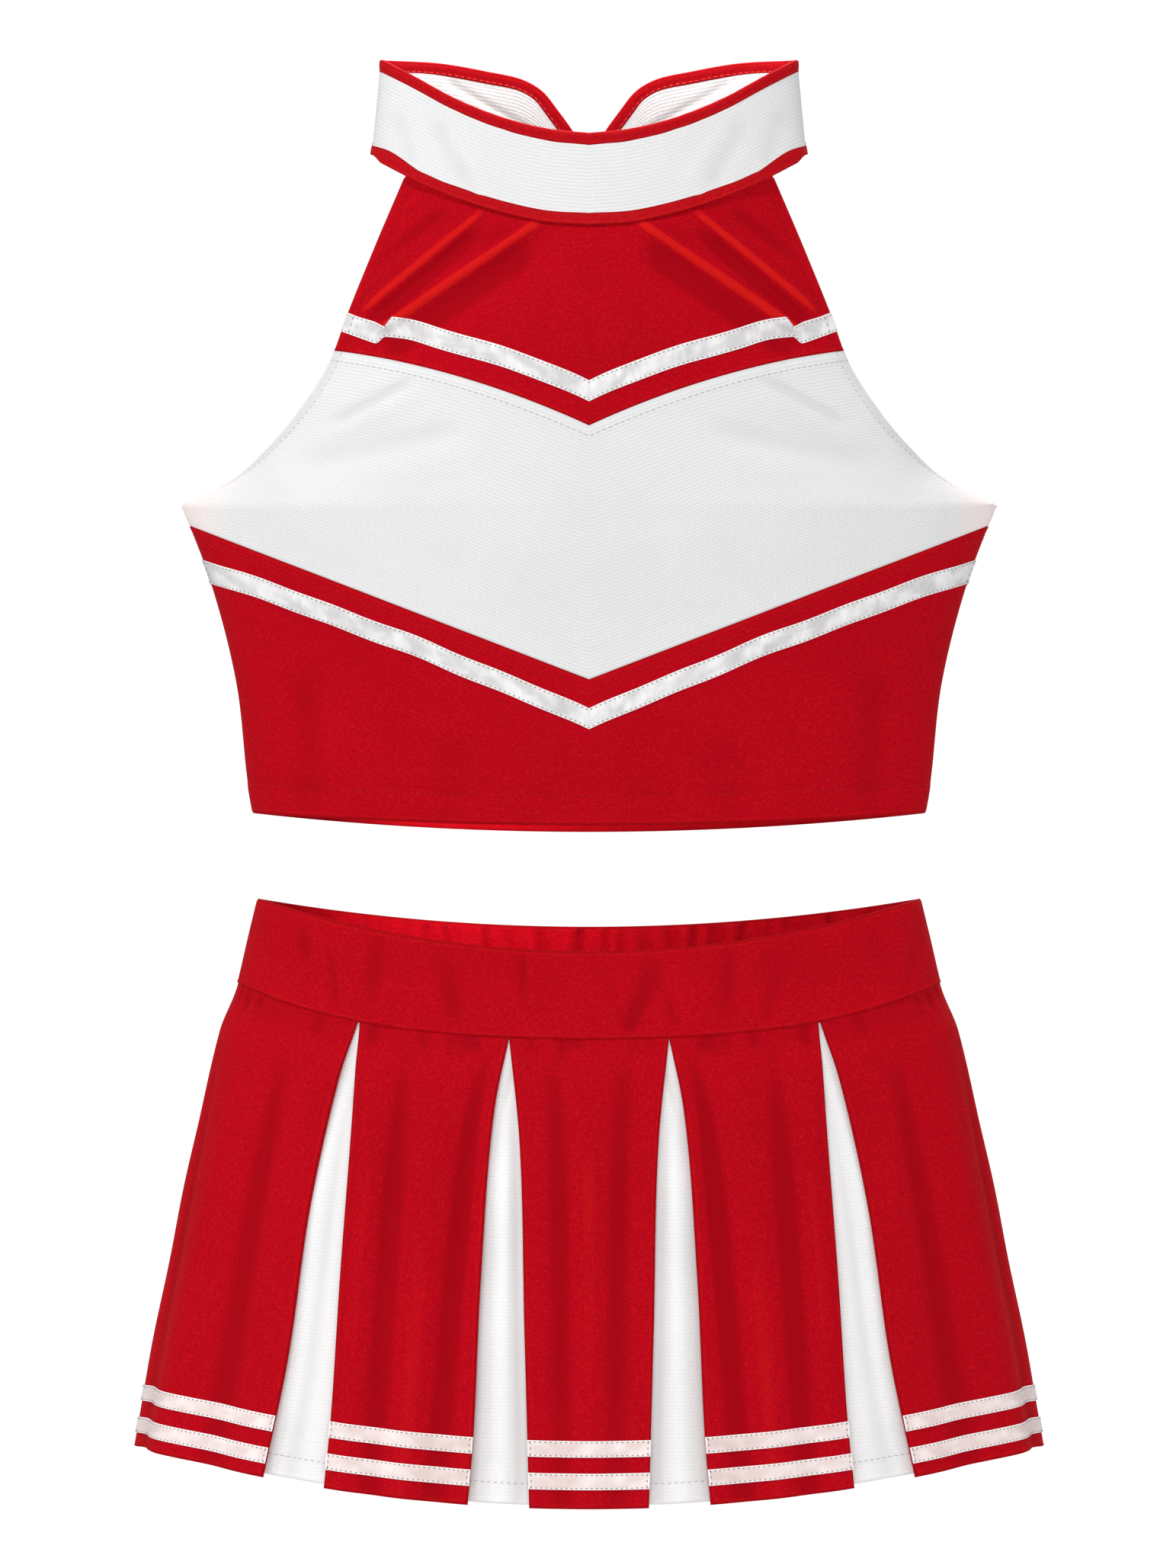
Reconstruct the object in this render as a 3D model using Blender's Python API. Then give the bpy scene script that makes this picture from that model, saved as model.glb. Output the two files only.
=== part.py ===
"""Cheer uniform: a cropped halter top and a separate pleated skirt, one above the other as they are worn.

Metres, +Z up. The front faces -Y, and the wearer's left is +X. The origin is the centre of the neck opening,
just above the shoulder points. Both garments are shells round oval forms: a place on a form is an angle (0 at
the front centre, 90 degrees at the left side, 180 degrees at the back centre) and a height.
"""
import math

import bmesh
import bpy

MM = 0.001
QUARTER = math.pi / 2
SIDES = ((1, "left"), (-1, "right"))  # sign of x, and the wearer's side

# Cloth
KNIT = 1.2 * MM  # thickness of a knit panel
RIBBON_THICK = 0.7 * MM
RIBBON_LIFT = 1.0 * MM  # clearance under a ribbon
SEAM_GAP = 0.3 * MM  # half the clearance between neighbouring pieces
BINDING_PROUD = 0.6 * MM  # how far a folded binding stands out on each face
RIBBON_LIFTS = (RIBBON_LIFT + RIBBON_THICK, RIBBON_LIFT)  # outer and inner face
BINDING_LIFTS = (BINDING_PROUD, -KNIT - BINDING_PROUD)

# Halter top
UNDERARM_Z = -0.166
FRONT_HEM_Z = -0.3178
BACK_HEM_Z = -0.3211
ARMHOLE_ANGLE = math.radians(66)  # where the front's armhole edge lies on the form
ARMHOLE_TURN = 0.05  # height over which the edge moves from the side seam to that angle
CHEVRON_RIBBON_WIDTH = 0.0100
BACK_EDGING = 0.0100
BACK_RIBBON_DROP = 0.0250  # below the top edge of the back

# Collar
COLLAR_HALF_WIDTH = 0.1030  # at the origin's height
COLLAR_TAPER = 0.1  # how fast it narrows upwards
COLLAR_AXIS_OUT = 0.0010  # the straps turn about an axis this far outside the side seams
BINDING_WIDTH = 0.0060
TAB_ROOT = 0.0150  # where the closing tab is sewn on, from the back centre
TAB_REACH = 0.0200  # how far it passes the back centre
TAB_TOP_Z, TAB_BOTTOM_Z = 0.0030, -0.0125
TAB_LIFT = 3.2 * MM
TAPE_THICK = 0.7 * MM
TAPE_MARGIN = 0.0020

# Skirt
WAIST_FRONT_Z, WAIST_BACK_Z = -0.3772, -0.3661
SEAM_FRONT_Z, SEAM_BACK_Z = -0.4190, -0.4066
HEM_FRONT_Z, HEM_BACK_Z = -0.6400, -0.6280
WAISTBAND_THICK = 1.9 * MM
ELASTIC_THICK = 1.0 * MM
ELASTIC_INSET = 0.0060  # between the elastic and the waistband's edges
SKIRT_RIBBON_WIDTH = 0.0078
RIBBON_RISES = (0.0090, 0.0243)  # height of each ribbon's lower edge over the hem
SIDE_RIBBON_RISES = (0.0068, 0.0225)  # the same on the side panels
INSERT_TOP_LIFT = -2.6 * MM
INSERT_HEM_LIFT = -7.0 * MM
INSERT_RAISED = 0.0015  # an insert's hem ends this far above the panels' hem
UNDERLAP_SIDE = 0.040  # how far an insert reaches behind a side panel at the hem
UNDERLAP_FRONT = 0.019  # how far an insert reaches behind any other panel at the hem
UNDERLAP_TOP = 0.007  # the same at the waist seam, behind every panel

RED = (0.58, 0.005, 0.012)
WHITE = (0.86, 0.86, 0.86)
SATIN = (0.88, 0.84, 0.84)
ELASTIC = (0.75, 0.74, 0.72)


def through(*points):
    """A smooth function through (input, output) points in rising order, straight beyond its ends."""
    inputs = [point[0] for point in points]
    outputs = [point[1] for point in points]
    steps = [(outputs[i + 1] - outputs[i]) / (inputs[i + 1] - inputs[i]) for i in range(len(points) - 1)]
    inner = [(a + b) / 2 for a, b in zip(steps, steps[1:])]
    slopes = [steps[0], *inner, steps[-1]]

    def value(at):
        if at <= inputs[0]:
            return outputs[0] + slopes[0] * (at - inputs[0])
        if at >= inputs[-1]:
            return outputs[-1] + slopes[-1] * (at - inputs[-1])
        i = max(k for k in range(len(inputs) - 1) if inputs[k] <= at)
        span = inputs[i + 1] - inputs[i]
        t = (at - inputs[i]) / span
        start = (1 + 2 * t) * (1 - t) ** 2 * outputs[i] + t * (1 - t) ** 2 * span * slopes[i]
        end = t * t * (3 - 2 * t) * outputs[i + 1] + t * t * (t - 1) * span * slopes[i + 1]
        return start + end

    return value


def smooth(t):
    t = min(max(t, 0.0), 1.0)
    return t * t * (3 - 2 * t)


def mix(a, b, t):
    return a + (b - a) * t


def steps(count):
    """Fractions from 0 to 1 in count equal steps."""
    return [i / count for i in range(count + 1)]


HALF_ROUND = steps(12)  # columns of every piece that spans the front or the back


class Form:
    """An oval body: half_width(z) and half_depth(z) give its section at each height."""

    def __init__(self, half_width, half_depth):
        self.half_width = half_width
        self.half_depth = half_depth

    def x(self, angle, z):
        return self.half_width(z) * math.sin(angle)

    def angle(self, x, z):
        return math.asin(min(max(x / self.half_width(z), -1.0), 1.0))

    def point(self, angle, z, lift=0.0):
        """The point at this angle and height, moved out level by lift."""
        wide, deep = self.half_width(z), self.half_depth(z)
        normal_x, normal_y = math.sin(angle) / wide, -math.cos(angle) / deep
        size = math.hypot(normal_x, normal_y)
        x = wide * math.sin(angle) + lift * normal_x / size
        y = -deep * math.cos(angle) + lift * normal_y / size
        return (x, y, z)


# The top's outline: half its width at each height.
armhole_edge = through(
    (UNDERARM_Z, 0.1931), (-0.155, 0.1703), (-0.137, 0.1502), (-0.120, 0.1363),
    (-0.101, 0.1241), (-0.075, 0.1142), (-0.043, 0.1012), (-0.010, 0.0871),
)
side_seam = through(
    (BACK_HEM_Z, 0.1576), (-0.300, 0.1614), (-0.250, 0.1672), (-0.202, 0.1795), (UNDERARM_Z, 0.1931),
)


def top_edge(z):
    return armhole_edge(z) if z > UNDERARM_Z else side_seam(z)


def top_edge_angle(z):
    """Where the front's edge lies: at the side below the arm, and forward of it along the armhole."""
    return mix(QUARTER, ARMHOLE_ANGLE, smooth((z - UNDERARM_Z) / ARMHOLE_TURN))


top_depth = through(
    (-0.320, 0.058), (-0.250, 0.060), (-0.166, 0.063), (-0.100, 0.061), (-0.035, 0.047), (0.045, 0.034),
)
top_form = Form(lambda z: top_edge(z) / math.sin(top_edge_angle(z)), top_depth)
collar_form = Form(lambda z: COLLAR_HALF_WIDTH - COLLAR_TAPER * z, lambda z: top_depth(z) + KNIT / 2)
waist_form = Form(
    through((-0.420, 0.1735), (-0.3917, 0.1665), (-0.3527, 0.1572)),
    through((-0.420, 0.078), (-0.3527, 0.070)),
)
skirt_form = Form(
    through(
        (-0.640, 0.2192), (-0.612, 0.2146), (-0.568, 0.2072), (-0.4955, 0.1924), (-0.444, 0.1821),
        (-0.3919, 0.1685),
    ),
    through((-0.640, 0.115), (-0.500, 0.095), (-0.3919, 0.077)),
)

# Edge heights as functions of the distance from the centre plane.
collar_top = through(
    (0, 0.0096), (0.0193, 0.0116), (0.0405, 0.0169), (0.0633, 0.0260), (0.0829, 0.0366), (0.0984, 0.0446),
)
collar_bottom = through(
    (0, -0.0342), (0.0193, -0.0331), (0.0329, -0.0305), (0.0557, -0.0240), (0.0769, -0.0157),
    (0.1019, -0.0028),
)
strap_top = through(
    (0.0065, 0.0097), (0.0148, 0.0214), (0.0223, 0.0305), (0.0314, 0.0358), (0.0481, 0.0396),
    (0.0709, 0.0434), (0.0973, 0.0446),
)


def strap_bottom(x):
    return -0.0140 + 1.05 * x * x


def upper_chevron(x):
    return -0.1290 + 0.46 * abs(x) - 1.36 * x * x


def upper_ribbon(x):
    return -0.1078 + 0.47 * abs(x) - 1.67 * x * x


def lower_chevron(x):
    return -0.2489 + 0.385 * abs(x)


def lower_ribbon(x):
    return -0.2627 + 0.44 * abs(x) - 0.28 * x * x


def front_hem(x):
    return FRONT_HEM_Z + 0.22 * x * x


def back_hem(x):
    return BACK_HEM_Z + 0.35 * x * x


def back_neckline(x):
    """The top edge of the bare-backed back panel."""
    return -0.188 + 0.59 * x * x


def waist_top(x, front):
    return WAIST_FRONT_Z + 1.00 * x * x if front else WAIST_BACK_Z + 0.54 * x * x


def waist_seam(x, front):
    return SEAM_FRONT_Z + 0.5 * x * x + 16 * x**4 if front else SEAM_BACK_Z + 0.52 * x * x


def skirt_hem(x, front):
    return HEM_FRONT_Z + 0.61 * x * x if front else HEM_BACK_Z + 0.347 * x * x


# The front pleats: how far each panel's edge is from the centre plane at each height.
front_edge = through((-0.640, 0.0283), (-0.556, 0.0306), (-0.466, 0.0330), (-0.4194, 0.0378))
beside_inner = through(
    (-0.639, 0.0574), (-0.609, 0.0548), (-0.530, 0.0510), (-0.4505, 0.0445), (-0.4194, 0.0382),
)
beside_outer = through(
    (-0.629, 0.1253), (-0.5985, 0.1223), (-0.530, 0.1178), (-0.453, 0.1120), (-0.4092, 0.1091),
)
side_edge = through(
    (-0.626, 0.1542), (-0.568, 0.1422), (-0.498, 0.1320), (-0.440, 0.1191), (-0.4092, 0.1096),
)


def material(name, colour, roughness):
    made = bpy.data.materials.new(name)
    made.use_nodes = True
    shader = made.node_tree.nodes["Principled BSDF"]
    shader.inputs["Base Color"].default_value = (*colour, 1.0)
    shader.inputs["Roughness"].default_value = roughness
    shader.inputs["Metallic"].default_value = 0.0
    made.diffuse_color = (*colour, 1.0)
    return made


def patch(form, left, right, top, bottom, columns, rows):
    """Rows of (angle, z) between the edges left(z) and right(z), top(angle, x) and bottom(angle, x)."""
    grid = []
    for down in rows:
        row = []
        for across in columns:
            z = mix(top(0.0, 0.0), bottom(0.0, 0.0), down)
            for _ in range(60):
                angle = mix(left(z), right(z), across)
                x = form.x(angle, z)
                z = mix(z, mix(top(angle, x), bottom(angle, x), down), 0.5)
            row.append((mix(left(z), right(z), across), z))
        grid.append(row)
    return grid


def shell(name, finish, form, grid, outer=0.0, inner=-KNIT):
    """A closed sheet of cloth over a grid of (angle, z).

    outer and inner are the lifts of its two faces, each a number or a function of z.
    """
    lifts = [face if callable(face) else (lambda z, face=face: face) for face in (outer, inner)]
    mesh = bpy.data.meshes.new(name)
    work = bmesh.new()
    faces = [[[work.verts.new(form.point(a, z, lift(z))) for a, z in row] for row in grid] for lift in lifts]
    last_row, last_column = len(grid) - 1, len(grid[0]) - 1
    for i in range(last_row):
        for j in range(last_column):
            for side, turn in zip(faces, (1, -1)):
                corners = [side[i][j], side[i + 1][j], side[i + 1][j + 1], side[i][j + 1]]
                work.faces.new(corners[::turn])
    rim = [(0, j) for j in range(last_column)] + [(i, last_column) for i in range(last_row)]
    rim += [(last_row, j) for j in range(last_column, 0, -1)] + [(i, 0) for i in range(last_row, 0, -1)]
    for (i, j), (k, m) in zip(rim, rim[1:] + rim[:1]):
        work.faces.new([faces[0][i][j], faces[0][k][m], faces[1][k][m], faces[1][i][j]])
    bmesh.ops.recalc_face_normals(work, faces=work.faces)
    work.to_mesh(mesh)
    work.free()
    mesh.materials.append(finish)
    mesh.shade_smooth()
    mesh.set_sharp_from_angle(angle=math.radians(40))
    made = bpy.data.objects.new(name, mesh)
    bpy.context.scene.collection.objects.link(made)
    return made


def hang(made, pivot):
    """Parents a piece to the empty on its joint's axis, keeping its place."""
    made.parent = pivot
    made.matrix_parent_inverse = pivot.matrix_world.inverted()


def pivot_at(name, place):
    made = bpy.data.objects.new(name, None)
    made.empty_display_size = 0.02
    made.location = place
    bpy.context.scene.collection.objects.link(made)
    bpy.context.view_layer.update()
    return made


def side_clearance(form, z):
    """The angle from the centre to a side seam, less the clearance there."""
    return QUARTER - SEAM_GAP / form.half_depth(z)


def half_round(form, back):
    """The edges, as functions of z, of a piece that runs from side seam to side seam."""
    middle = 2 * QUARTER if back else 0.0
    return (lambda z: middle - side_clearance(form, z)), (lambda z: middle + side_clearance(form, z))


def bodice_front_edges():
    """The front's edges: the side seams, and the armholes above them."""
    def reach(z):
        return min(top_edge_angle(z), side_clearance(top_form, z))

    return (lambda z: -reach(z)), reach


def bodice_front(red, white):
    left, right = bodice_front_edges()
    shell("bodice_front_upper", red, top_form, patch(
        top_form, left, right,
        lambda a, x: collar_bottom(abs(x)) - 2 * SEAM_GAP,
        lambda a, x: upper_chevron(x) + SEAM_GAP, HALF_ROUND, steps(4)))
    side_top, side_bottom = upper_chevron(armhole_edge(-0.0936)), lower_chevron(side_seam(-0.1763))
    underarm = (side_top - UNDERARM_Z) / (side_top - side_bottom)
    rows = [t * underarm for t in steps(5)] + [1.0]
    shell("bodice_front_middle", white, top_form, patch(
        top_form, left, right,
        lambda a, x: upper_chevron(x) - SEAM_GAP,
        lambda a, x: lower_chevron(x) + SEAM_GAP, HALF_ROUND, rows))
    shell("bodice_front_lower", red, top_form, patch(
        top_form, left, right,
        lambda a, x: lower_chevron(x) - SEAM_GAP,
        lambda a, x: front_hem(x), HALF_ROUND, steps(4)))


def bodice_ribbons(satin):
    left, right = bodice_front_edges()
    for name, line in (("upper_chevron_ribbon", upper_ribbon), ("lower_chevron_ribbon", lower_ribbon)):
        grid = patch(
            top_form, left, right,
            lambda a, x, line=line: line(x),
            lambda a, x, line=line: line(x) - CHEVRON_RIBBON_WIDTH, HALF_ROUND, steps(1))
        shell(name, satin, top_form, grid, *RIBBON_LIFTS)


def bodice_back(red, white, satin):
    left, right = half_round(top_form, True)

    def back_patch(top, bottom, rows):
        return patch(
            top_form, left, right, lambda a, x: top(x), lambda a, x: bottom(x), HALF_ROUND, rows)

    shell("bodice_back", red, top_form, back_patch(
        lambda x: back_neckline(x) - BACK_EDGING - SEAM_GAP, back_hem, steps(4)))
    shell("back_edging", white, top_form, back_patch(
        back_neckline, lambda x: back_neckline(x) - BACK_EDGING + SEAM_GAP, steps(1)))
    shell("back_ribbon", satin, top_form, back_patch(
        lambda x: back_neckline(x) - BACK_RIBBON_DROP,
        lambda x: back_neckline(x) - BACK_RIBBON_DROP - CHEVRON_RIBBON_WIDTH, steps(1)), *RIBBON_LIFTS)


def collar_front(red, white):
    left, right = half_round(collar_form, False)

    def strip(name, finish, top, bottom, lifts, rows):
        grid = patch(
            collar_form, left, right,
            lambda a, x: top(abs(x)), lambda a, x: bottom(abs(x)), HALF_ROUND, rows)
        shell(name, finish, collar_form, grid, *lifts)

    def under_top_binding(x):
        return collar_top(x) - BINDING_WIDTH

    def over_bottom_binding(x):
        return collar_bottom(x) + BINDING_WIDTH

    strip("collar_front_top_binding", red, collar_top, under_top_binding, BINDING_LIFTS, steps(1))
    strip("collar_front", white, lambda x: under_top_binding(x) - SEAM_GAP,
          lambda x: over_bottom_binding(x) + SEAM_GAP, (), steps(2))
    strip("collar_front_bottom_binding", red, over_bottom_binding, collar_bottom, BINDING_LIFTS, steps(1))


def collar_strap(sign, side, pivot, red, white):
    """One back half of the collar, which ends in a rounded tip at the back centre."""
    tip = 0.0015

    def outline(t):
        """(x, z) along the strap's top edge and down its tip; t runs 0 to 1 from the side seam."""
        along = [0.0940, 0.0709, 0.0481, 0.0314, 0.0223, 0.0148, 0.0065]
        path = [(x, strap_top(x)) for x in along] + [(tip + 0.0008, 0.0010), (tip, -0.0060)]
        at = t * (len(path) - 1)
        i = min(int(at), len(path) - 2)
        return tuple(mix(path[i][k], path[i + 1][k], at - i) for k in range(2))

    def inward(t, distance):
        """The outline's point at t, moved into the strap."""
        (x0, z0), (x1, z1) = outline(max(t - 0.06, 0)), outline(min(t + 0.06, 1))
        run, rise = x0 - x1, z0 - z1
        length = math.hypot(run, rise)
        x, z = outline(t)
        return x + distance * rise / length, z - distance * run / length

    def cell(x, z):
        angle = min(collar_form.angle(x, z), side_clearance(collar_form, z))
        return (sign * (2 * QUARTER - angle), z)

    count = 8
    edge = [outline(t) for t in steps(count)]
    inner = [inward(t, BINDING_WIDTH) for t in steps(count)]
    # The side seam leans, so the first points are moved out to it.
    side_points = [(collar_form.half_width(z), z) for z in (edge[0][1], inner[0][1])]
    edge.insert(0, side_points[0])
    inner.insert(0, side_points[1])
    body_top = [(x + SEAM_GAP, z - SEAM_GAP) for x, z in inner]
    body_rows = [
        [cell(x, mix(z, strap_bottom(x) + BINDING_WIDTH + SEAM_GAP, down)) for x, z in body_top]
        for down in steps(2)
    ]
    bottom_x = [collar_form.half_width(0.0), 0.085, 0.065, 0.045, 0.025, 0.012, tip]
    bottom_rows = [
        [cell(x, strap_bottom(x) + rise) for x in bottom_x] for rise in (BINDING_WIDTH - SEAM_GAP, 0.0)
    ]
    # The top binding stops on the bottom binding.
    floor = strap_bottom(tip) + BINDING_WIDTH + SEAM_GAP
    top_rows = [[cell(x, max(z, floor)) for x, z in points] for points in (edge, inner)]
    pieces = [
        shell(f"collar_{side}_strap", white, collar_form, body_rows),
        shell(f"collar_{side}_top_binding", red, collar_form, top_rows, *BINDING_LIFTS),
        shell(f"collar_{side}_bottom_binding", red, collar_form, bottom_rows, *BINDING_LIFTS),
    ]
    for made in pieces:
        hang(made, pivot)


def collar_closure(left_pivot, right_pivot, red, tape):
    """The left strap's tab lies outside the right strap's tip, with a tape on each face that meets."""
    def block(name, finish, start, end, margin, inner, thick, pivot):
        grid = [
            [(2 * QUARTER - collar_form.angle(x, z), z) for x in (start, mix(start, end, 0.5), end)]
            for z in (TAB_TOP_Z - margin, TAB_BOTTOM_Z + margin)
        ]
        hang(shell(name, finish, collar_form, grid, inner + thick, inner), pivot)

    tape_start, tape_end = -TAPE_MARGIN, TAPE_MARGIN - TAB_REACH
    hook_lift = TAB_LIFT - TAPE_THICK - SEAM_GAP
    loop_lift = BINDING_PROUD + SEAM_GAP
    block("collar_tab", red, TAB_ROOT, -TAB_REACH, 0.0, TAB_LIFT, KNIT, left_pivot)
    block("hook_tape", tape, tape_start, tape_end, TAPE_MARGIN, hook_lift, TAPE_THICK, left_pivot)
    block("loop_tape", tape, tape_start, tape_end, TAPE_MARGIN, loop_lift, TAPE_THICK, right_pivot)


def waistband(red, elastic, pivot):
    """The front and back of the waistband, which is folded double, and the elastic inside the back."""
    for back, name in ((False, "waistband_front"), (True, "waistband_back")):
        grid = patch(
            waist_form, *half_round(waist_form, back),
            lambda a, x, back=back: waist_top(x, not back),
            lambda a, x, back=back: waist_seam(x, not back) + SEAM_GAP, HALF_ROUND, steps(2))
        hang(shell(name, red, waist_form, grid, inner=-WAISTBAND_THICK), pivot)
    grid = patch(
        waist_form, *half_round(waist_form, True),
        lambda a, x: waist_top(x, False) - ELASTIC_INSET,
        lambda a, x: waist_seam(x, False) + ELASTIC_INSET, HALF_ROUND[1:-1], steps(1))
    outer = -WAISTBAND_THICK - 2 * SEAM_GAP
    hang(shell("waist_elastic", elastic, waist_form, grid, outer, outer - ELASTIC_THICK), pivot)


def is_front(angle):
    return math.cos(angle) >= 0


def pleat_angle(edge, shift, back):
    """The angle at each height of a panel edge that lies edge(z) + shift(z) from the centre plane, at +X."""
    raised = SEAM_BACK_Z - SEAM_FRONT_Z if back else 0.0

    def at(z):
        angle = skirt_form.angle(edge(z - raised) + shift(z), z)
        return 2 * QUARTER - angle if back else angle
    return at


def no_shift(z):
    return 0.0


def underlap(at_hem):
    """How far an insert passes a panel's edge, growing from the waist seam to the hem."""
    return lambda z: mix(UNDERLAP_TOP, at_hem, min(max((SEAM_FRONT_Z - z) / 0.2, 0.0), 1.0))


def insert_lift(z):
    return mix(INSERT_TOP_LIFT, INSERT_HEM_LIFT, min(max((SEAM_FRONT_Z - z) / 0.2, 0.0), 1.0))


def turned(edge, sign):
    """The same edge on the other side of the centre plane when sign is -1."""
    return edge if sign > 0 else (lambda z: -edge(z))


def gore_top(angle, x):
    return waist_seam(x, is_front(angle)) - SEAM_GAP


def gore_hem(angle, x):
    return skirt_hem(x, is_front(angle))


def hinge_pivot(name, angles, grid):
    """The empty on a gore's hinge axis: at its middle on the form, as high as its highest point."""
    z = max(cell[1] for cell in grid[0])
    return pivot_at(f"{name}_axis", skirt_form.point(sum(angles) / 2, z))


def panel(name, left, right, columns, rises, red, satin, waist):
    """A red panel with its two hem ribbons, hinged at the waist seam."""
    grid = patch(skirt_form, left, right, gore_top, gore_hem, columns, steps(5))
    pivot = hinge_pivot(name, (grid[0][0][0], grid[0][-1][0]), grid)
    hang(pivot, waist)
    hang(shell(name, red, skirt_form, grid), pivot)
    for label, rise in zip(("lower", "upper"), rises):
        strip = patch(
            skirt_form, left, right,
            lambda a, x, rise=rise: gore_hem(a, x) + rise + SKIRT_RIBBON_WIDTH,
            lambda a, x, rise=rise: gore_hem(a, x) + rise, columns, steps(1))
        hang(shell(f"{name}_{label}_ribbon", satin, skirt_form, strip, *RIBBON_LIFTS), pivot)


def insert(name, left, right, white, waist):
    """A white pleat insert, which hangs behind the edges of two panels."""
    grid = patch(
        skirt_form, left, right,
        lambda a, x: gore_top(a, x) - 0.0010,
        lambda a, x: gore_hem(a, x) + INSERT_RAISED, steps(4), steps(4))
    pivot = hinge_pivot(name, (grid[0][0][0], grid[0][-1][0]), grid)
    hang(pivot, waist)
    hang(shell(name, white, skirt_form, grid, insert_lift, lambda z: insert_lift(z) - KNIT), pivot)


def skirt_panels(red, satin, waist):
    finishes = (red, satin, waist)
    for back, place in ((False, "front"), (True, "back")):
        edge = pleat_angle(front_edge, no_shift, back)
        ends = (edge, lambda z, edge=edge: 4 * QUARTER - edge(z)) if back else (turned(edge, -1), edge)
        panel(f"panel_{place}", *ends, steps(4), RIBBON_RISES, *finishes)
        ends = (pleat_angle(beside_inner, no_shift, back), pleat_angle(beside_outer, no_shift, back))
        for sign, side in SIDES:
            name = f"panel_{place}_{side}"
            panel(name, turned(ends[0], sign), turned(ends[1], sign), steps(4), RIBBON_RISES, *finishes)
    ends = (pleat_angle(side_edge, no_shift, False), pleat_angle(side_edge, no_shift, True))
    for sign, side in SIDES:
        name = f"panel_side_{side}"
        panel(name, turned(ends[0], sign), turned(ends[1], sign), steps(10), SIDE_RIBBON_RISES, *finishes)


def skirt_inserts(white, waist):
    front_lap, side_lap = underlap(UNDERLAP_FRONT), underlap(UNDERLAP_SIDE)
    for back, place in ((False, "front"), (True, "back")):
        for sign, side in SIDES:
            inner = (
                pleat_angle(front_edge, lambda z: -front_lap(z), back),
                pleat_angle(beside_inner, front_lap, back),
            )
            outer = (
                pleat_angle(beside_outer, lambda z: -front_lap(z), back),
                pleat_angle(side_edge, side_lap, back),
            )
            for label, ends in (("inner", inner), ("outer", outer)):
                name = f"insert_{place}_{side}_{label}"
                insert(name, turned(ends[0], sign), turned(ends[1], sign), white, waist)


def main():
    for old in list(bpy.data.objects):
        bpy.data.objects.remove(old, do_unlink=True)
    red = material("red_knit", RED, 0.75)
    white = material("white_knit", WHITE, 0.80)
    satin = material("white_satin", SATIN, 0.35)
    binding = material("red_binding", RED, 0.65)
    tape = material("elastic_and_tape", ELASTIC, 0.85)
    bodice_front(red, white)
    bodice_ribbons(satin)
    bodice_back(red, white, satin)
    collar_front(binding, white)
    side = COLLAR_HALF_WIDTH + COLLAR_AXIS_OUT
    pivots = [pivot_at(f"collar_{name}_axis", (sign * side, 0.0, 0.0)) for sign, name in SIDES]
    for (sign, name), pivot in zip(SIDES, pivots):
        collar_strap(sign, name, pivot, binding, white)
    collar_closure(*pivots, binding, tape)
    waist = pivot_at("skirt_axis", (0.0, 0.0, WAIST_FRONT_Z))
    waistband(red, tape, waist)
    skirt_panels(red, satin, waist)
    skirt_inserts(white, waist)


main()
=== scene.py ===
"""Looks of the cheer uniform: a cropped halter top over a pleated skirt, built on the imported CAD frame.

Metres, +Z up, the front faces -Y and the wearer's left is +X, as in the CAD. Every CAD node is replaced by a
finer piece of cloth on the same oval forms. A place on a form is a height and an angle: 0 at the front
centre, 90 degrees at the left side, 180 degrees at the back centre. Folds, puckers and gathers are vertex
moves.
"""
import math

import bpy
import numpy as np
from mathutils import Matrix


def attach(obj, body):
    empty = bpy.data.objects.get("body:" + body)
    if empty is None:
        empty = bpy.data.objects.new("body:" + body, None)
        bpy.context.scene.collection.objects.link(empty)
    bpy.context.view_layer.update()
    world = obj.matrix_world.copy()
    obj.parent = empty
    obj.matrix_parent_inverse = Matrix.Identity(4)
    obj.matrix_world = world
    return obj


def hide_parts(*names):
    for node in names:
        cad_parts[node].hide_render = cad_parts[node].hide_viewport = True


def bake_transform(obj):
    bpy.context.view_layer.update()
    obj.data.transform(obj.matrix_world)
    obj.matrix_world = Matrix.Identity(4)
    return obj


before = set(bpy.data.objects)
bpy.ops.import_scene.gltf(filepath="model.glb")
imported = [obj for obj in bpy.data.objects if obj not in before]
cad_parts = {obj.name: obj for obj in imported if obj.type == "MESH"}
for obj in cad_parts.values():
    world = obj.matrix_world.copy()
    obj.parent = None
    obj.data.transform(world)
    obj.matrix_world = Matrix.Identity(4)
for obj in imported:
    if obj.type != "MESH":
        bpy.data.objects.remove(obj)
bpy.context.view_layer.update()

MM = 0.001
QUARTER = math.pi / 2
SIDES = ((1, "left"), (-1, "right"))  # sign of x, and the wearer's side

# Cloth
KNIT = 1.2 * MM  # thickness of a knit panel
TURNED = 2.0 * MM  # thickness where an edge is turned under
RIBBON_THICK = 0.45 * MM
RIBBON_LIFT = 0.50 * MM  # a ribbon's outer face over the cloth
OVERLAP = 0.10 * MM  # how far pieces that are sewn edge to edge run into each other
EDGE_LINES = (0.0016, 0.0040)  # distances from an edge that get a mesh line of their own
RIBBON_LINES = (0.0006, 0.0014)
BINDING_LINES = (0.0008, 0.0016)
BINDING_PROUD = 0.6 * MM
BINDING_WIDTH = 6.0 * MM
BINDING_SEAM = 0.0012  # its stitches' distance from its sewn edge
UNDER_FRONT_BINDING, UNDER_STRAP_BINDING = 0.0020, 0.0016  # how far the white cloth reaches under it
BLUSH = (0.184, 0.214)  # this far from its middle white cloth begins to blush, and has blushed

# Stitches on ribbons, and how far they are from a ribbon's long edges
RIBBON_STITCH, RIBBON_STITCH_GAP = 0.0012, 0.0012
CHEVRON_RIBBON_SEAM, SKIRT_RIBBON_SEAM = 0.0009, 0.0008
SKIRT_RIBBON_END_SEAM = 0.0014  # the same, from its short edges

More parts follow.
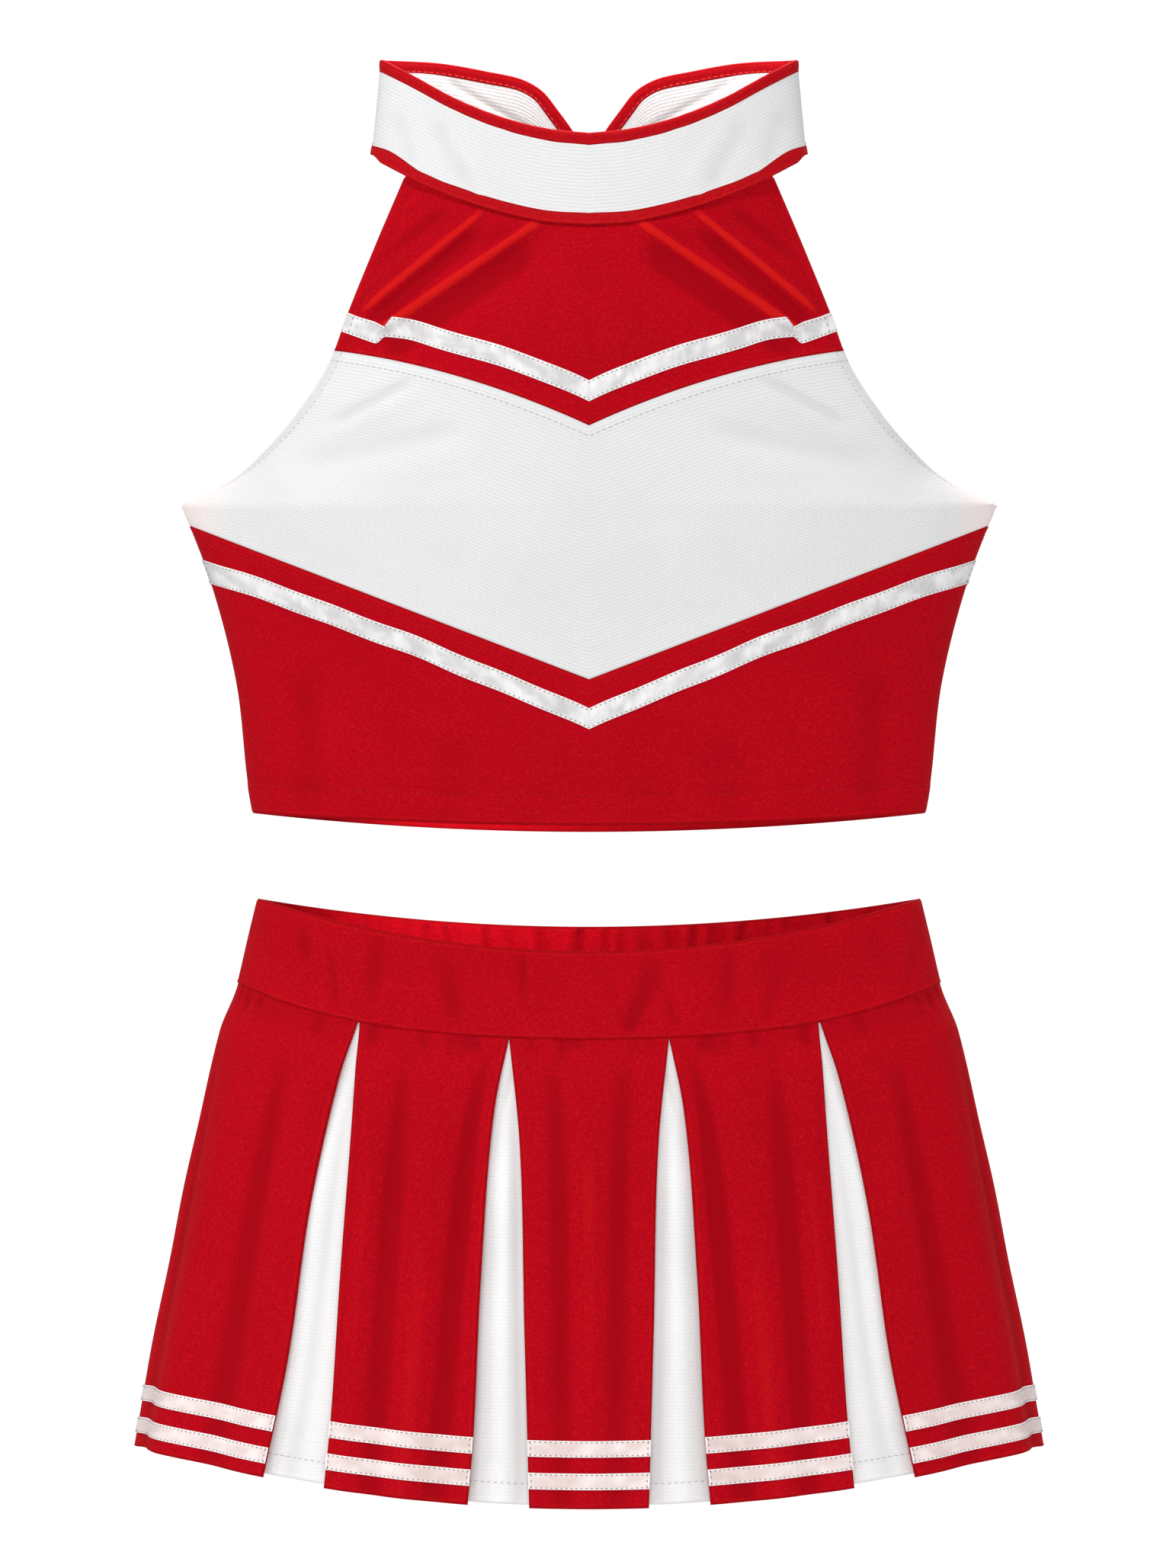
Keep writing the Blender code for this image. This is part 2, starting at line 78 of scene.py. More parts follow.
# Halter top
UNDERARM_Z = -0.166
FRONT_HEM_Z = -0.3178
BACK_HEM_Z = -0.3211
ARMHOLE_ANGLE = math.radians(66)
ARMHOLE_TURN = 0.05
ARMHOLE_BAND = 0.0055  # width of the turned armhole edge
YOKE_UNDER_COLLAR = 0.0020
UPPER_CHEVRON_END_Z, LOWER_CHEVRON_END_Z = -0.0936, -0.1763  # about where they meet the front's edges
TOP_HEM = 0.0140
TOPSTITCH, SECOND_TOPSTITCH = 0.0050, 0.0068  # stitch lines' distances from the chevron seams
CHEVRON_RIBBON_WIDTH = 0.0100
BACK_EDGING = 0.0100
BACK_RIBBON_DROP = 0.0250

# Collar
COLLAR_HALF_WIDTH = 0.1030
COLLAR_TAPER = 0.1
STRAP_TIP = 0.0015  # the tips' distance from the centre plane
TAB_ROOT = 0.0150
TAB_REACH = 0.0200
TAB_TOP_Z, TAB_BOTTOM_Z = 0.0030, -0.0125
TAB_LIFT = 3.2 * MM
TAPE_THICK = 0.9 * MM
TAPE_MARGIN = 0.0020

# Skirt
WAIST_FRONT_Z, WAIST_BACK_Z = -0.3772, -0.3661
SEAM_FRONT_Z, SEAM_BACK_Z = -0.4190, -0.4066
HEM_FRONT_Z, HEM_BACK_Z = -0.6400, -0.6280
WAISTBAND_THICK = 1.9 * MM
CASING_THICK = 3.6 * MM  # the back waistband with its elastic inside
SKIRT_RIBBON_WIDTH = 0.0078
RIBBON_RISES = (0.0090, 0.0243)
SIDE_RIBBON_RISES = (0.0068, 0.0225)
INSERT_TOP_LIFT = -2.6 * MM
INSERT_HEM_LIFT = -7.0 * MM
INSERT_RAISED = 0.0015  # how much higher than a panel an insert starts and ends
INSERT_HEM = 0.0100
UNDERLAP_SIDE = 0.040  # how far an insert passes a side panel's edge at the hem
UNDERLAP_FRONT = 0.019  # and any other panel's
UNDERLAP_TOP = 0.007  # and either at the waist seam
TUCK = 0.0030  # how far a panel's top runs up behind the waistband
TUCK_DEPTH = 0.5 * MM  # how far behind the waistband's outer face it lies there
SHOULDER = 0.0240  # the height over which a panel comes out to its full girth
BULGE = 0.85  # the share of the step between waistband and skirt that the waistband takes up
WAIST_STITCHES = (0.0060, 0.0330)  # stitch lines' distances from the back waistband's top edge

# Camera: the photograph is a square-on view, nearly free of perspective
LENS = 1000.0
SENSOR = 36.0
FRAME_HEIGHT = 2057 * 0.36 * MM
CENTRE_X, CENTRE_Z = -0.0005, -0.2983
MIDDLE = (0.0, 0.0, CENTRE_Z)  # most lights face it
REFERENCE_Y = -0.060
FLOOR_Z = -0.92  # the pulled-down skirt stays over it
FLOOR_RADIUS = 0.80  # the level camera looks over it at the white background


def through(*points):
    """A smooth function through (input, output) points in rising order, straight beyond its ends."""
    inputs, outputs = np.array(points, float).T
    gaps = np.diff(outputs) / np.diff(inputs)
    slopes = np.concatenate([gaps[:1], (gaps[1:] + gaps[:-1]) / 2, gaps[-1:]])

    def value(at):
        at = np.asarray(at, float)
        i = np.clip(np.searchsorted(inputs, at) - 1, 0, len(inputs) - 2)
        span = inputs[i + 1] - inputs[i]
        t = np.clip((at - inputs[i]) / span, 0, 1)
        start = (1 + 2 * t) * (1 - t) ** 2 * outputs[i] + t * (1 - t) ** 2 * span * slopes[i]
        end = t * t * (3 - 2 * t) * outputs[i + 1] + t * t * (t - 1) * span * slopes[i + 1]
        below = slopes[0] * np.minimum(at - inputs[0], 0)
        above = slopes[-1] * np.maximum(at - inputs[-1], 0)
        return start + end + below + above

    return value


def smooth(t):
    t = np.clip(t, 0, 1)
    return t * t * (3 - 2 * t)


def mix(a, b, t):
    return a + (b - a) * t


def bell(t):
    return np.exp(-np.square(t))


def unit(vectors):
    return vectors / np.maximum(np.linalg.norm(vectors, axis=-1, keepdims=True), 1e-12)


class Form:
    """An oval body: half_width(z) and half_depth(z) give its section at each height."""

    def __init__(self, half_width, half_depth):
        self.half_width = half_width
        self.half_depth = half_depth

    def x(self, angle, z):
        return self.half_width(z) * np.sin(angle)

    def angle(self, x, z):
        return np.arcsin(np.clip(x / self.half_width(z), -1, 1))

    def points(self, angle, z):
        return np.stack([self.x(angle, z), -self.half_depth(z) * np.cos(angle), z + 0 * angle], -1)

    def outward(self, angle, z):
        """The level direction away from the form."""
        x, y = np.sin(angle) / self.half_width(z), -np.cos(angle) / self.half_depth(z)
        return unit(np.stack([x, y, 0 * x], -1))


# The top's outline: half its width at each height.
armhole_edge = through(
    (UNDERARM_Z, 0.1931), (-0.155, 0.1703), (-0.137, 0.1502), (-0.120, 0.1363),
    (-0.101, 0.1241), (-0.075, 0.1142), (-0.043, 0.1012), (-0.010, 0.0871),
)
side_seam = through(
    (BACK_HEM_Z, 0.1576), (-0.300, 0.1614), (-0.250, 0.1672), (-0.202, 0.1795), (UNDERARM_Z, 0.1931),
)


def top_edge(z):
    return np.where(z > UNDERARM_Z, armhole_edge(z), side_seam(z))


def top_edge_angle(z):
    """Where the front's edge lies: at the side below the arm, and forward of it along the armhole."""
    return mix(QUARTER, ARMHOLE_ANGLE, smooth((z - UNDERARM_Z) / ARMHOLE_TURN))


top_depth = through(
    (-0.320, 0.058), (-0.250, 0.060), (-0.166, 0.063), (-0.100, 0.061), (-0.035, 0.047), (0.045, 0.034),
)
top_form = Form(lambda z: top_edge(z) / np.sin(top_edge_angle(z)), top_depth)
collar_form = Form(lambda z: COLLAR_HALF_WIDTH - COLLAR_TAPER * z, lambda z: top_depth(z) + KNIT / 2)
waist_form = Form(
    through((-0.420, 0.1735), (-0.3917, 0.1665), (-0.3527, 0.1572)),
    through((-0.420, 0.078), (-0.3527, 0.070)),
)
skirt_form = Form(
    through(
        (-0.640, 0.2192), (-0.612, 0.2146), (-0.568, 0.2072), (-0.4955, 0.1924), (-0.444, 0.1821),
        (-0.3919, 0.1685),
    ),
    through((-0.640, 0.115), (-0.500, 0.095), (-0.3919, 0.077)),
)

# Edge heights as functions of the distance from the centre plane.
collar_top = through(
    (0, 0.0096), (0.0193, 0.0116), (0.0405, 0.0169), (0.0633, 0.0260), (0.0829, 0.0366), (0.0984, 0.0446),
)
collar_bottom = through(
    (0, -0.0342), (0.0193, -0.0331), (0.0329, -0.0305), (0.0557, -0.0240), (0.0769, -0.0157),
    (0.1019, -0.0028),
)


def rounded_corner(x):
    """The lower binding rises a little as it turns round the side seam."""
    return 0.0028 * smooth((x - 0.0980) / 0.0050)


def collar_foot(x):
    return collar_bottom(x) + rounded_corner(x)


def low_binding_top(x):
    """The lower binding spreads a little before it turns round the side seam."""
    return collar_bottom(x) + BINDING_WIDTH + 0.0022 * bell((x - 0.0940) / 0.0080)


def strap_foot(x):
    return -0.0140 + 1.05 * x * x + rounded_corner(x)


# A strap's top edge and tip as the distance from the centre plane and the height, from the side seam (0)
# round to the end of the tip (1).
strap_edge_x = through(
    (0, 0.0985), (0.22, 0.0709), (0.40, 0.0481), (0.54, 0.0314), (0.63, 0.0223), (0.73, 0.0148),
    (0.84, 0.0065), (0.93, 0.0023), (1.0, 0.0015),
)
strap_edge_z = through(
    (0, 0.0446), (0.22, 0.0434), (0.40, 0.0396), (0.54, 0.0358), (0.63, 0.0305), (0.73, 0.0214),
    (0.84, 0.0097), (0.93, 0.0010), (1.0, -0.0060),
)


def curve(height, rise=0.0, bend=0.0):
    """An edge height that rises and bends evenly away from the centre plane."""
    return lambda x: height + rise * np.abs(x) + bend * x * x


upper_chevron = curve(-0.1290, 0.46, -1.36)
lower_chevron = curve(-0.2489, 0.385)
front_hem = curve(FRONT_HEM_Z, bend=0.22)
back_hem = curve(BACK_HEM_Z, bend=0.35)
back_neckline = curve(-0.188, bend=0.59)


def upper_ribbon(x, jog_at=0.0925, jog_over=0.0035):
    """The upper ribbon's top edge, which jogs where the yoke's longest fold crosses it."""
    reach = np.abs(x)
    before = 0.0012 * smooth((reach - 0.070) / 0.020)
    after = -0.0044 + 0.0046 * (reach - 0.0935) / 0.0185
    jog = mix(before, after, smooth((reach - jog_at) / jog_over))
    return -0.1078 + 0.47 * reach - 1.67 * x * x + jog + waver(reach)


def upper_ribbon_foot(x):
    """Its lower edge jogs further out, because the fold runs down and out across it."""
    return upper_ribbon(x, 0.0965, 0.0050) - CHEVRON_RIBBON_WIDTH


def waver(reach):
    """A sewn ribbon never runs quite straight."""
    return 0.20 * MM * (np.sin(reach / 0.0105) + np.sin(reach / 0.0062 + 1.0))


def lower_ribbon(x):
    reach = np.abs(x)
    return -0.2627 + 0.44 * reach - 0.28 * x * x + 1.3 * waver(reach)


def lower_ribbon_foot(x):
    return lower_ribbon(x) - CHEVRON_RIBBON_WIDTH


def waist_top(x, front):
    return np.where(front, WAIST_FRONT_Z + 1.00 * x * x, WAIST_BACK_Z + 0.54 * x * x)


def waist_seam(x, front):
    return np.where(front, SEAM_FRONT_Z + 0.5 * x * x + 16 * x**4, SEAM_BACK_Z + 0.52 * x * x)


def skirt_hem(x, front):
    return np.where(front, HEM_FRONT_Z + 0.61 * x * x, HEM_BACK_Z + 0.347 * x * x)


# The front pleats: how far each panel's edge is from the centre plane at each height.
front_edge = through((-0.640, 0.0283), (-0.556, 0.0306), (-0.466, 0.0330), (-0.4194, 0.0378))
beside_inner = through(
    (-0.639, 0.0574), (-0.609, 0.0548), (-0.530, 0.0510), (-0.4505, 0.0445), (-0.4194, 0.0382),
)
beside_outer = through(
    (-0.629, 0.1253), (-0.5985, 0.1223), (-0.530, 0.1178), (-0.453, 0.1120), (-0.4092, 0.1091),
)
side_edge = through(
    (-0.626, 0.1542), (-0.568, 0.1422), (-0.498, 0.1320), (-0.440, 0.1191), (-0.4092, 0.1096),
)


# ---------------------------------------------------------------- patches of cloth

def spaced(length, step, near=EDGE_LINES):
    """Fractions of a length: the lines near both ends, even steps between them, and one in the middle."""
    inner = length / 2 - near[-1]
    count = max(int(round(inner / step)), 1)
    evenly = near[-1] + inner * np.arange(1, count + 1) / count
    first = np.concatenate([[0.0], near, evenly]) / length
    return np.concatenate([first, 1 - first[-2::-1]])


def lengths(points, axis):
    """The distance along the grid's lines from their start."""
    gone = np.cumsum(np.linalg.norm(np.diff(points, axis=axis), axis=-1), axis=axis)
    pad = [(0, 0), (0, 0)]
    pad[axis] = (1, 0)
    return np.pad(gone, pad)


class Patch:
    """A grid of places on a form, with how far each one is from the patch's four edges."""

    def __init__(self, form, angle, z, across, down):
        self.angle, self.z = angle, z
        self.across, self.down = across + 0 * z, down + 0 * z
        self.x = form.x(angle, z)
        self.reach = np.abs(self.x)
        self.base = form.points(angle, z)
        self.out = form.outward(angle, z)
        self.left, self.top = lengths(self.base, 1), lengths(self.base, 0)
        self.right, self.bottom = self.left[:, -1:] - self.left, self.top[-1:] - self.top
        self.side = np.minimum(self.left, self.right)
        self.edge = np.minimum(self.side, np.minimum(self.top, self.bottom))


def patch(form, left, right, top, bottom, columns, rows):
    """The patch between the edges left(z) and right(z), top(angle, x) and bottom(angle, x)."""
    across, down = columns[None, :], rows[:, None]
    z = mix(top(0.0, 0.0), bottom(0.0, 0.0), down) + 0 * across
    for _ in range(60):
        angle = mix(left(z), right(z), across)
        x = form.x(angle, z)
        z = mix(z, mix(top(angle, x), bottom(angle, x), down), 0.5)
    return Patch(form, mix(left(z), right(z), across), z, across, down)


def to_seams(form, middle=0.0):
    """The side edges of a patch about an angle, each a little past a side seam of the form."""
    def reach(z):
        return QUARTER + OVERLAP / form.half_depth(z)
    return (lambda z: middle - reach(z)), (lambda z: middle + reach(z))


def shifted(edge, by=0.0):
    """The edge height edge(x), moved up, as a patch takes it."""
    return lambda angle, x: edge(x) + by


def ring(rows, columns):
    """The grid's border as (row, column) pairs, in order."""
    last_row, last_column = rows - 1, columns - 1
    path = [(0, j) for j in range(last_column)] + [(i, last_column) for i in range(last_row)]
    path += [(last_row, j) for j in range(last_column, 0, -1)] + [(i, 0) for i in range(last_row, 0, -1)]
    return np.array(path)


def rounded_rim(outer, inner, border):
    """Pulls both faces in at the border and returns the half round of points between them."""
    i, j = border.T
    last_row, last_column = outer.shape[0] - 1, outer.shape[1] - 1
    step_row = np.where(i == 0, 1, np.where(i == last_row, -1, 0))
    step_column = np.where(j == 0, 1, np.where(j == last_column, -1, 0))
    middle = (outer + inner) / 2
    centre = middle[i, j]
    across = (outer - inner)[i, j] / 2
    radius = np.linalg.norm(across, axis=-1, keepdims=True)
    normal = across / radius
    inward = middle[i + step_row, j + step_column] - centre
    room = np.linalg.norm(inward, axis=-1, keepdims=True)
    inward = unit(inward - normal * (inward * normal).sum(-1, keepdims=True))
    pull = np.minimum(radius, 0.7 * room)
    outer[i, j] += inward * pull
    inner[i, j] += inward * pull
    arcs = []
    for turn in (45, 90, 135):
        turn = math.radians(turn)
        arcs.append(centre + inward * pull * (1 - math.sin(turn)) + across * math.cos(turn))
    return arcs


def averaged(values, cells, axis):
    """Values smoothed along one axis over about this many grid cells."""
    pad = [(0, 0), (0, 0)]
    pad[axis] = (cells, cells)
    padded = np.pad(values, pad, mode="edge")
    count = values.shape[axis]
    weights = bell(np.linspace(-1.5, 1.5, 2 * cells + 1))
    parts = [w * np.take(padded, range(k, k + count), axis) for k, w in enumerate(weights)]
    return sum(parts) / weights.sum()


def folds_of(cloth, lift, size):
    """How far each point stands over (above 0) or under the cloth around it, in millimetres."""
    around = lift
    for axis, total in ((0, cloth.top[-1].mean()), (1, cloth.left[:, -1].mean())):
        cells = int(round(size * (lift.shape[axis] - 1) / total))
        around = averaged(around, min(max(cells, 1), lift.shape[axis] - 1), axis)
    return np.clip((lift - around) / MM, -1.5, 1.5)


def make(name, finish, cloth, outer_lift, thick, fold_size=0.012, facing=0.0):
    """A closed sheet of cloth over a patch. outer_lift and thick are arrays or numbers, in metres.

    facing is 1 where another layer lies behind the cloth; the knit is made darker there.
    """
    outer_lift = outer_lift + 0 * cloth.z
    folds = folds_of(cloth, outer_lift, fold_size).ravel()
    outer = cloth.base + cloth.out * outer_lift[..., None]
    inner = outer - cloth.out * (thick + 0 * cloth.z)[..., None]
    cloth.outer, cloth.inner = outer.copy(), inner.copy()
    rows, columns = cloth.z.shape
    border = ring(rows, columns)
    arcs = rounded_rim(outer, inner, border)
    index = np.arange(rows * columns).reshape(rows, columns)
    quads = np.stack([index[:-1, :-1], index[1:, :-1], index[1:, 1:], index[:-1, 1:]], -1).reshape(-1, 4)
    size = rows * columns
    faces = [quads, quads[:, ::-1] + size]
    rim = border[:, 0] * columns + border[:, 1]
    count = len(rim)
    levels = [rim, *(2 * size + k * count + np.arange(count) for k in range(3)), rim + size]
    for a, b in zip(levels, levels[1:]):
        faces.append(np.stack([np.roll(a, -1), a, b, np.roll(b, -1)], -1)[:, ::-1])
    points = np.concatenate([outer.reshape(-1, 3), inner.reshape(-1, 3), *arcs])
    faces = np.concatenate(faces)
    a, b, c, _ = points[quads[len(quads) // 2]]
    if np.dot(np.cross(b - a, c - a), cloth.out.reshape(-1, 3)[quads[len(quads) // 2][0]]) < 0:
        faces = faces[:, ::-1]
    made = build(name, finish, points, faces.tolist())
    place = np.stack([cloth.left - cloth.left[:, -1:] / 2, cloth.top, cloth.edge], -1).reshape(-1, 3)
    store(made, "cloth", np.concatenate([place, place, *[place[rim]] * 3]))
    folds = np.concatenate([folds, -folds, *[0 * folds[rim]] * 3])
    facing = (facing + 0 * cloth.z).ravel()
    facing = np.concatenate([facing, facing, *[facing[rim]] * 3])
    store(made, "fold", np.stack([folds, facing, 0 * folds], -1))
    return made


def build(name, finish, points, faces):
    mesh = bpy.data.meshes.new(name)
    mesh.from_pydata(points.tolist(), [], faces)
    mesh.materials.append(finish)
    mesh.shade_smooth()
    made = bpy.data.objects.new(name, mesh)
    bpy.context.scene.collection.objects.link(made)
    return made


def store(made, name, vectors):
    """Keeps three numbers with every point, which the materials read; see Nodes.part()."""
    attribute = made.data.attributes.new(name, "FLOAT_VECTOR", "POINT")
    attribute.data.foreach_set("vector", vectors.astype(np.float32).ravel())


# ---------------------------------------------------------------- folds and puckers

def crease(cloth, start, end, half_width, height, fade=0.3):
    """A soft ridge, or a groove if height is negative, on both sides of the centre plane.

    start and end are (distance from the centre plane, z); it fades out over that share of its length.
    """
    (x0, z0), (x1, z1) = start, end
    size = math.hypot(x1 - x0, z1 - z0)
    along = ((cloth.reach - x0) * (x1 - x0) + (cloth.z - z0) * (z1 - z0)) / size**2
    aside = ((cloth.reach - x0) * (z1 - z0) - (cloth.z - z0) * (x1 - x0)) / size
    ends = smooth(along / fade) * smooth((1 - along) / fade)
    return height * bell(aside / half_width) * ends


def creases(cloth, rows, total=0.0):
    """total with the crease of each row (start, end, half width, height and, if not 0.3, fade) on it."""
    for row in rows:
        total = total + crease(cloth, *row)
    return total


def uneven(cloth, seed, size, height):
    """Gentle unevenness: a few crossing waves about size long."""
    draw = np.random.default_rng(seed)
    total = 0.0
    for _ in range(5):
        turn, shift, stretch = draw.uniform(0, math.pi), draw.uniform(0, 6.3), draw.uniform(0.7, 1.5)
        across = cloth.reach * math.cos(turn) + cloth.z * math.sin(turn)
        total = total + np.sin(across * 2 * math.pi / (size * stretch) + shift)
    return height * total / 3


def upright_folds(cloth, folds, top_z, hem_z):
    """Folds that run down the cloth, each (share across at the top, at the hem, half width, height)."""
    drop = np.clip((top_z - cloth.z) / (top_z - hem_z), 0, 1)
    width = cloth.left[:, -1:]
    total = 0.0
    for at_top, at_hem, half_width, height in folds:
        aside = (cloth.across - mix(at_top, at_hem, drop)) * width
        shape = bell(aside / (half_width * mix(0.55, 1.25, drop)))
        total = total + height * shape * smooth(drop * 2.2 + 0.12)
    return total


def puckers(cloth, seed, per_metre, height):
    """Short ridges across a ribbon, flat where its edges are sewn down."""
    draw = np.random.default_rng(seed)
    half = cloth.left[:, -1:].max() / 2
    place = np.abs(cloth.left - cloth.left[:, -1:] / 2)
    total = 0.0
    for _ in range(max(int(half * per_metre), 2)):
        at, lean = draw.uniform(0.003, half), draw.uniform(-0.5, 0.5)
        wide, tall = draw.uniform(0.0009, 0.0026), draw.uniform(-0.7, 1.0)
        total = total + tall * bell((place - at - lean * (cloth.top - 0.004)) / wide)
    return height * np.clip(total, -0.45, 1.4) * np.sin(math.pi * np.clip(cloth.down, 0, 1)) ** 0.7


def turned_edge(gap, width, step):
    """The step of a turned and stitched edge: raised inside the stitch line, with a dent along it."""
    return step * smooth((width - gap) / 0.0008 + 0.5) - 1.3 * step * bell((gap - width) / 0.0007)


# ---------------------------------------------------------------- stitches

class Thread:
    """Collects the stitches of one piece of sewing."""

    def __init__(self, finish):
        self.finish, self.points, self.faces, self.count = finish, [], [], 0

    def sew(self, path, normal, length=0.0021, gap=0.0010, radius=0.00021):
        """Stitches along a path of points; each is a short rounded bar whose ends dip into the cloth."""
        gone = np.concatenate([[0], np.cumsum(np.linalg.norm(np.diff(path, axis=0), axis=1))])
        number = int(gone[-1] / (length + gap))
        if number < 1:
            return
        pitch = gone[-1] / number
        middle = (np.arange(number) + 0.5) * pitch
        share = length / (length + gap)

        def at(distance, values):
            return np.stack([np.interp(distance, gone, values[:, k]) for k in range(3)], -1)

        centre, up = at(middle, path), unit(at(middle, normal))
        along = unit(at(middle + 0.3 * pitch, path) - at(middle - 0.3 * pitch, path))
        side = np.cross(along, up)
        half = pitch * share / 2
        rings = []
        for place, size, sink in ((-1.0, 0.35, -0.9), (-0.6, 1.0, 0.1), (0.6, 1.0, 0.1), (1.0, 0.35, -0.9)):
            for k in range(5):
                turn = 2 * math.pi * k / 5
                rings.append(
                    centre + along * half * place + side * radius * size * math.cos(turn)
                    + up * radius * (size * math.sin(turn) + sink))
        points = np.stack(rings, 1)
        quads = []
        for r in range(3):
            for k in range(5):
                a, b = 5 * r + k, 5 * r + (k + 1) % 5
                quads.append((a, b, b + 5, a + 5))
        start = self.count + 20 * np.arange(number)[:, None, None]
        self.faces += (np.array(quads)[None] + start).reshape(-1, 4).tolist()
        for cap in ((4, 3, 2, 1, 0), (15, 16, 17, 18, 19)):
            self.faces += (np.array(cap)[None] + start[:, 0]).tolist()
        self.points.append(points.reshape(-1, 3))
        self.count += 20 * number

    def done(self, name):
        return build(name, self.finish, np.concatenate(self.points), self.faces)


def stitch_line(cloth, edge, distance, face="outer", start=0.0, end=1.0):
    """(points, normals) of the line on a made patch at this distance from one of its edges."""
    surface = getattr(cloth, face)
    gaps = getattr(cloth, edge)
    if edge in ("left", "right"):
        surface, gaps, out = surface.swapaxes(0, 1), gaps.T, cloth.out.swapaxes(0, 1)
    else:
        out = cloth.out
    if edge in ("bottom", "right"):
        surface, gaps, out = surface[::-1], gaps[::-1], out[::-1]
    points, normals = [], []
    columns = gaps.shape[1]
    for j in range(int(start * (columns - 1)), int(round(end * (columns - 1))) + 1):
        points.append([np.interp(distance, gaps[:, j], surface[:, j, k]) for k in range(3)])
        normals.append(out[np.abs(gaps[:, j] - distance).argmin(), j])
    return np.array(points), np.array(normals) * (1 if face == "outer" else -1)


# ---------------------------------------------------------------- materials

class Nodes:
    """A small helper that adds linked nodes to a material."""

    def __init__(self, name):
        self.material = bpy.data.materials.new(name)
        self.material.use_nodes = True
        self.tree = self.material.node_tree
        self.shader = self.tree.nodes["Principled BSDF"]

    def add(self, kind, inputs=(), **settings):
        node = self.tree.nodes.new(kind)
        for key, value in settings.items():
            setattr(node, key, value)
        for key, value in dict(inputs).items():
            self.set(node.inputs[key], value)
        return node

    def set(self, socket, value):
        if isinstance(value, bpy.types.NodeSocket):
            self.tree.links.new(value, socket)
        else:
            socket.default_value = (*value, 1.0) if socket.type == "RGBA" else value

    def stored(self, name):
        return self.add("ShaderNodeAttribute", attribute_name=name).outputs["Vector"]

    def part(self, name, axis):
        """One number of what make() stored.

        cloth: X is the distance along the cloth from its middle, Y from its top, Z from its nearest edge.
        fold: X is how many millimetres it stands over its surroundings, Y is 1 in front of another layer.
        """
        return self.add("ShaderNodeSeparateXYZ", {0: self.stored(name)}).outputs[axis]

    def noise(self, vector, scale, detail=2.0, rough=0.5):
        inputs = {"Vector": vector, "Scale": scale, "Detail": detail, "Roughness": rough}
        return self.add("ShaderNodeTexNoise", inputs).outputs["Fac"]

    def stretched(self, vector, scale):
        return self.add("ShaderNodeMapping", {"Vector": vector, "Scale": scale}).outputs["Vector"]

    def waves(self, vector, direction, pitch, distortion=0.0):
        """Even bands, one each pitch metres."""
        inputs = {"Vector": vector, "Scale": 2 * math.pi / 20 / pitch, "Distortion": distortion,
                  "Detail": 1.0, "Detail Scale": 0.6}
        settings = {"wave_type": "BANDS", "bands_direction": direction}
        return self.add("ShaderNodeTexWave", inputs, **settings).outputs["Fac"]

    def ramp(self, value, low, high, start=0.0, end=1.0):
        inputs = {"Value": value, "From Min": low, "From Max": high, "To Min": start, "To Max": end}
        return self.add("ShaderNodeMapRange", inputs).outputs["Result"]

    def math(self, operation, a, b):
        return self.add("ShaderNodeMath", {0: a, 1: b}, operation=operation).outputs[0]

    def times(self, a, b):
        return self.math("MULTIPLY", a, b)

    def blend(self, factor, a, b):
        node = self.add("ShaderNodeMix", data_type="RGBA")
        for key, value in ((0, factor), (6, a), (7, b)):
            self.set(node.inputs[key], value)
        return node.outputs[2]

    def paint(self, base, layers):
        """Lays (mask, colour) layers over a base colour and gives the result to the shader."""
        for mask, tone in layers:
            base = self.blend(mask, base, tone)
        self.set(self.shader.inputs["Base Color"], base)

    def rough(self, value):
        self.set(self.shader.inputs["Roughness"], value)

    def bump(self, height, strength, distance):
        inputs = {"Height": height, "Strength": strength, "Distance": distance}
        self.set(self.shader.inputs["Normal"], self.add("ShaderNodeBump", inputs).outputs["Normal"])

    def constants(self, **values):
        for key, value in values.items():
            self.set(self.shader.inputs[key.replace("_", " ")], value)


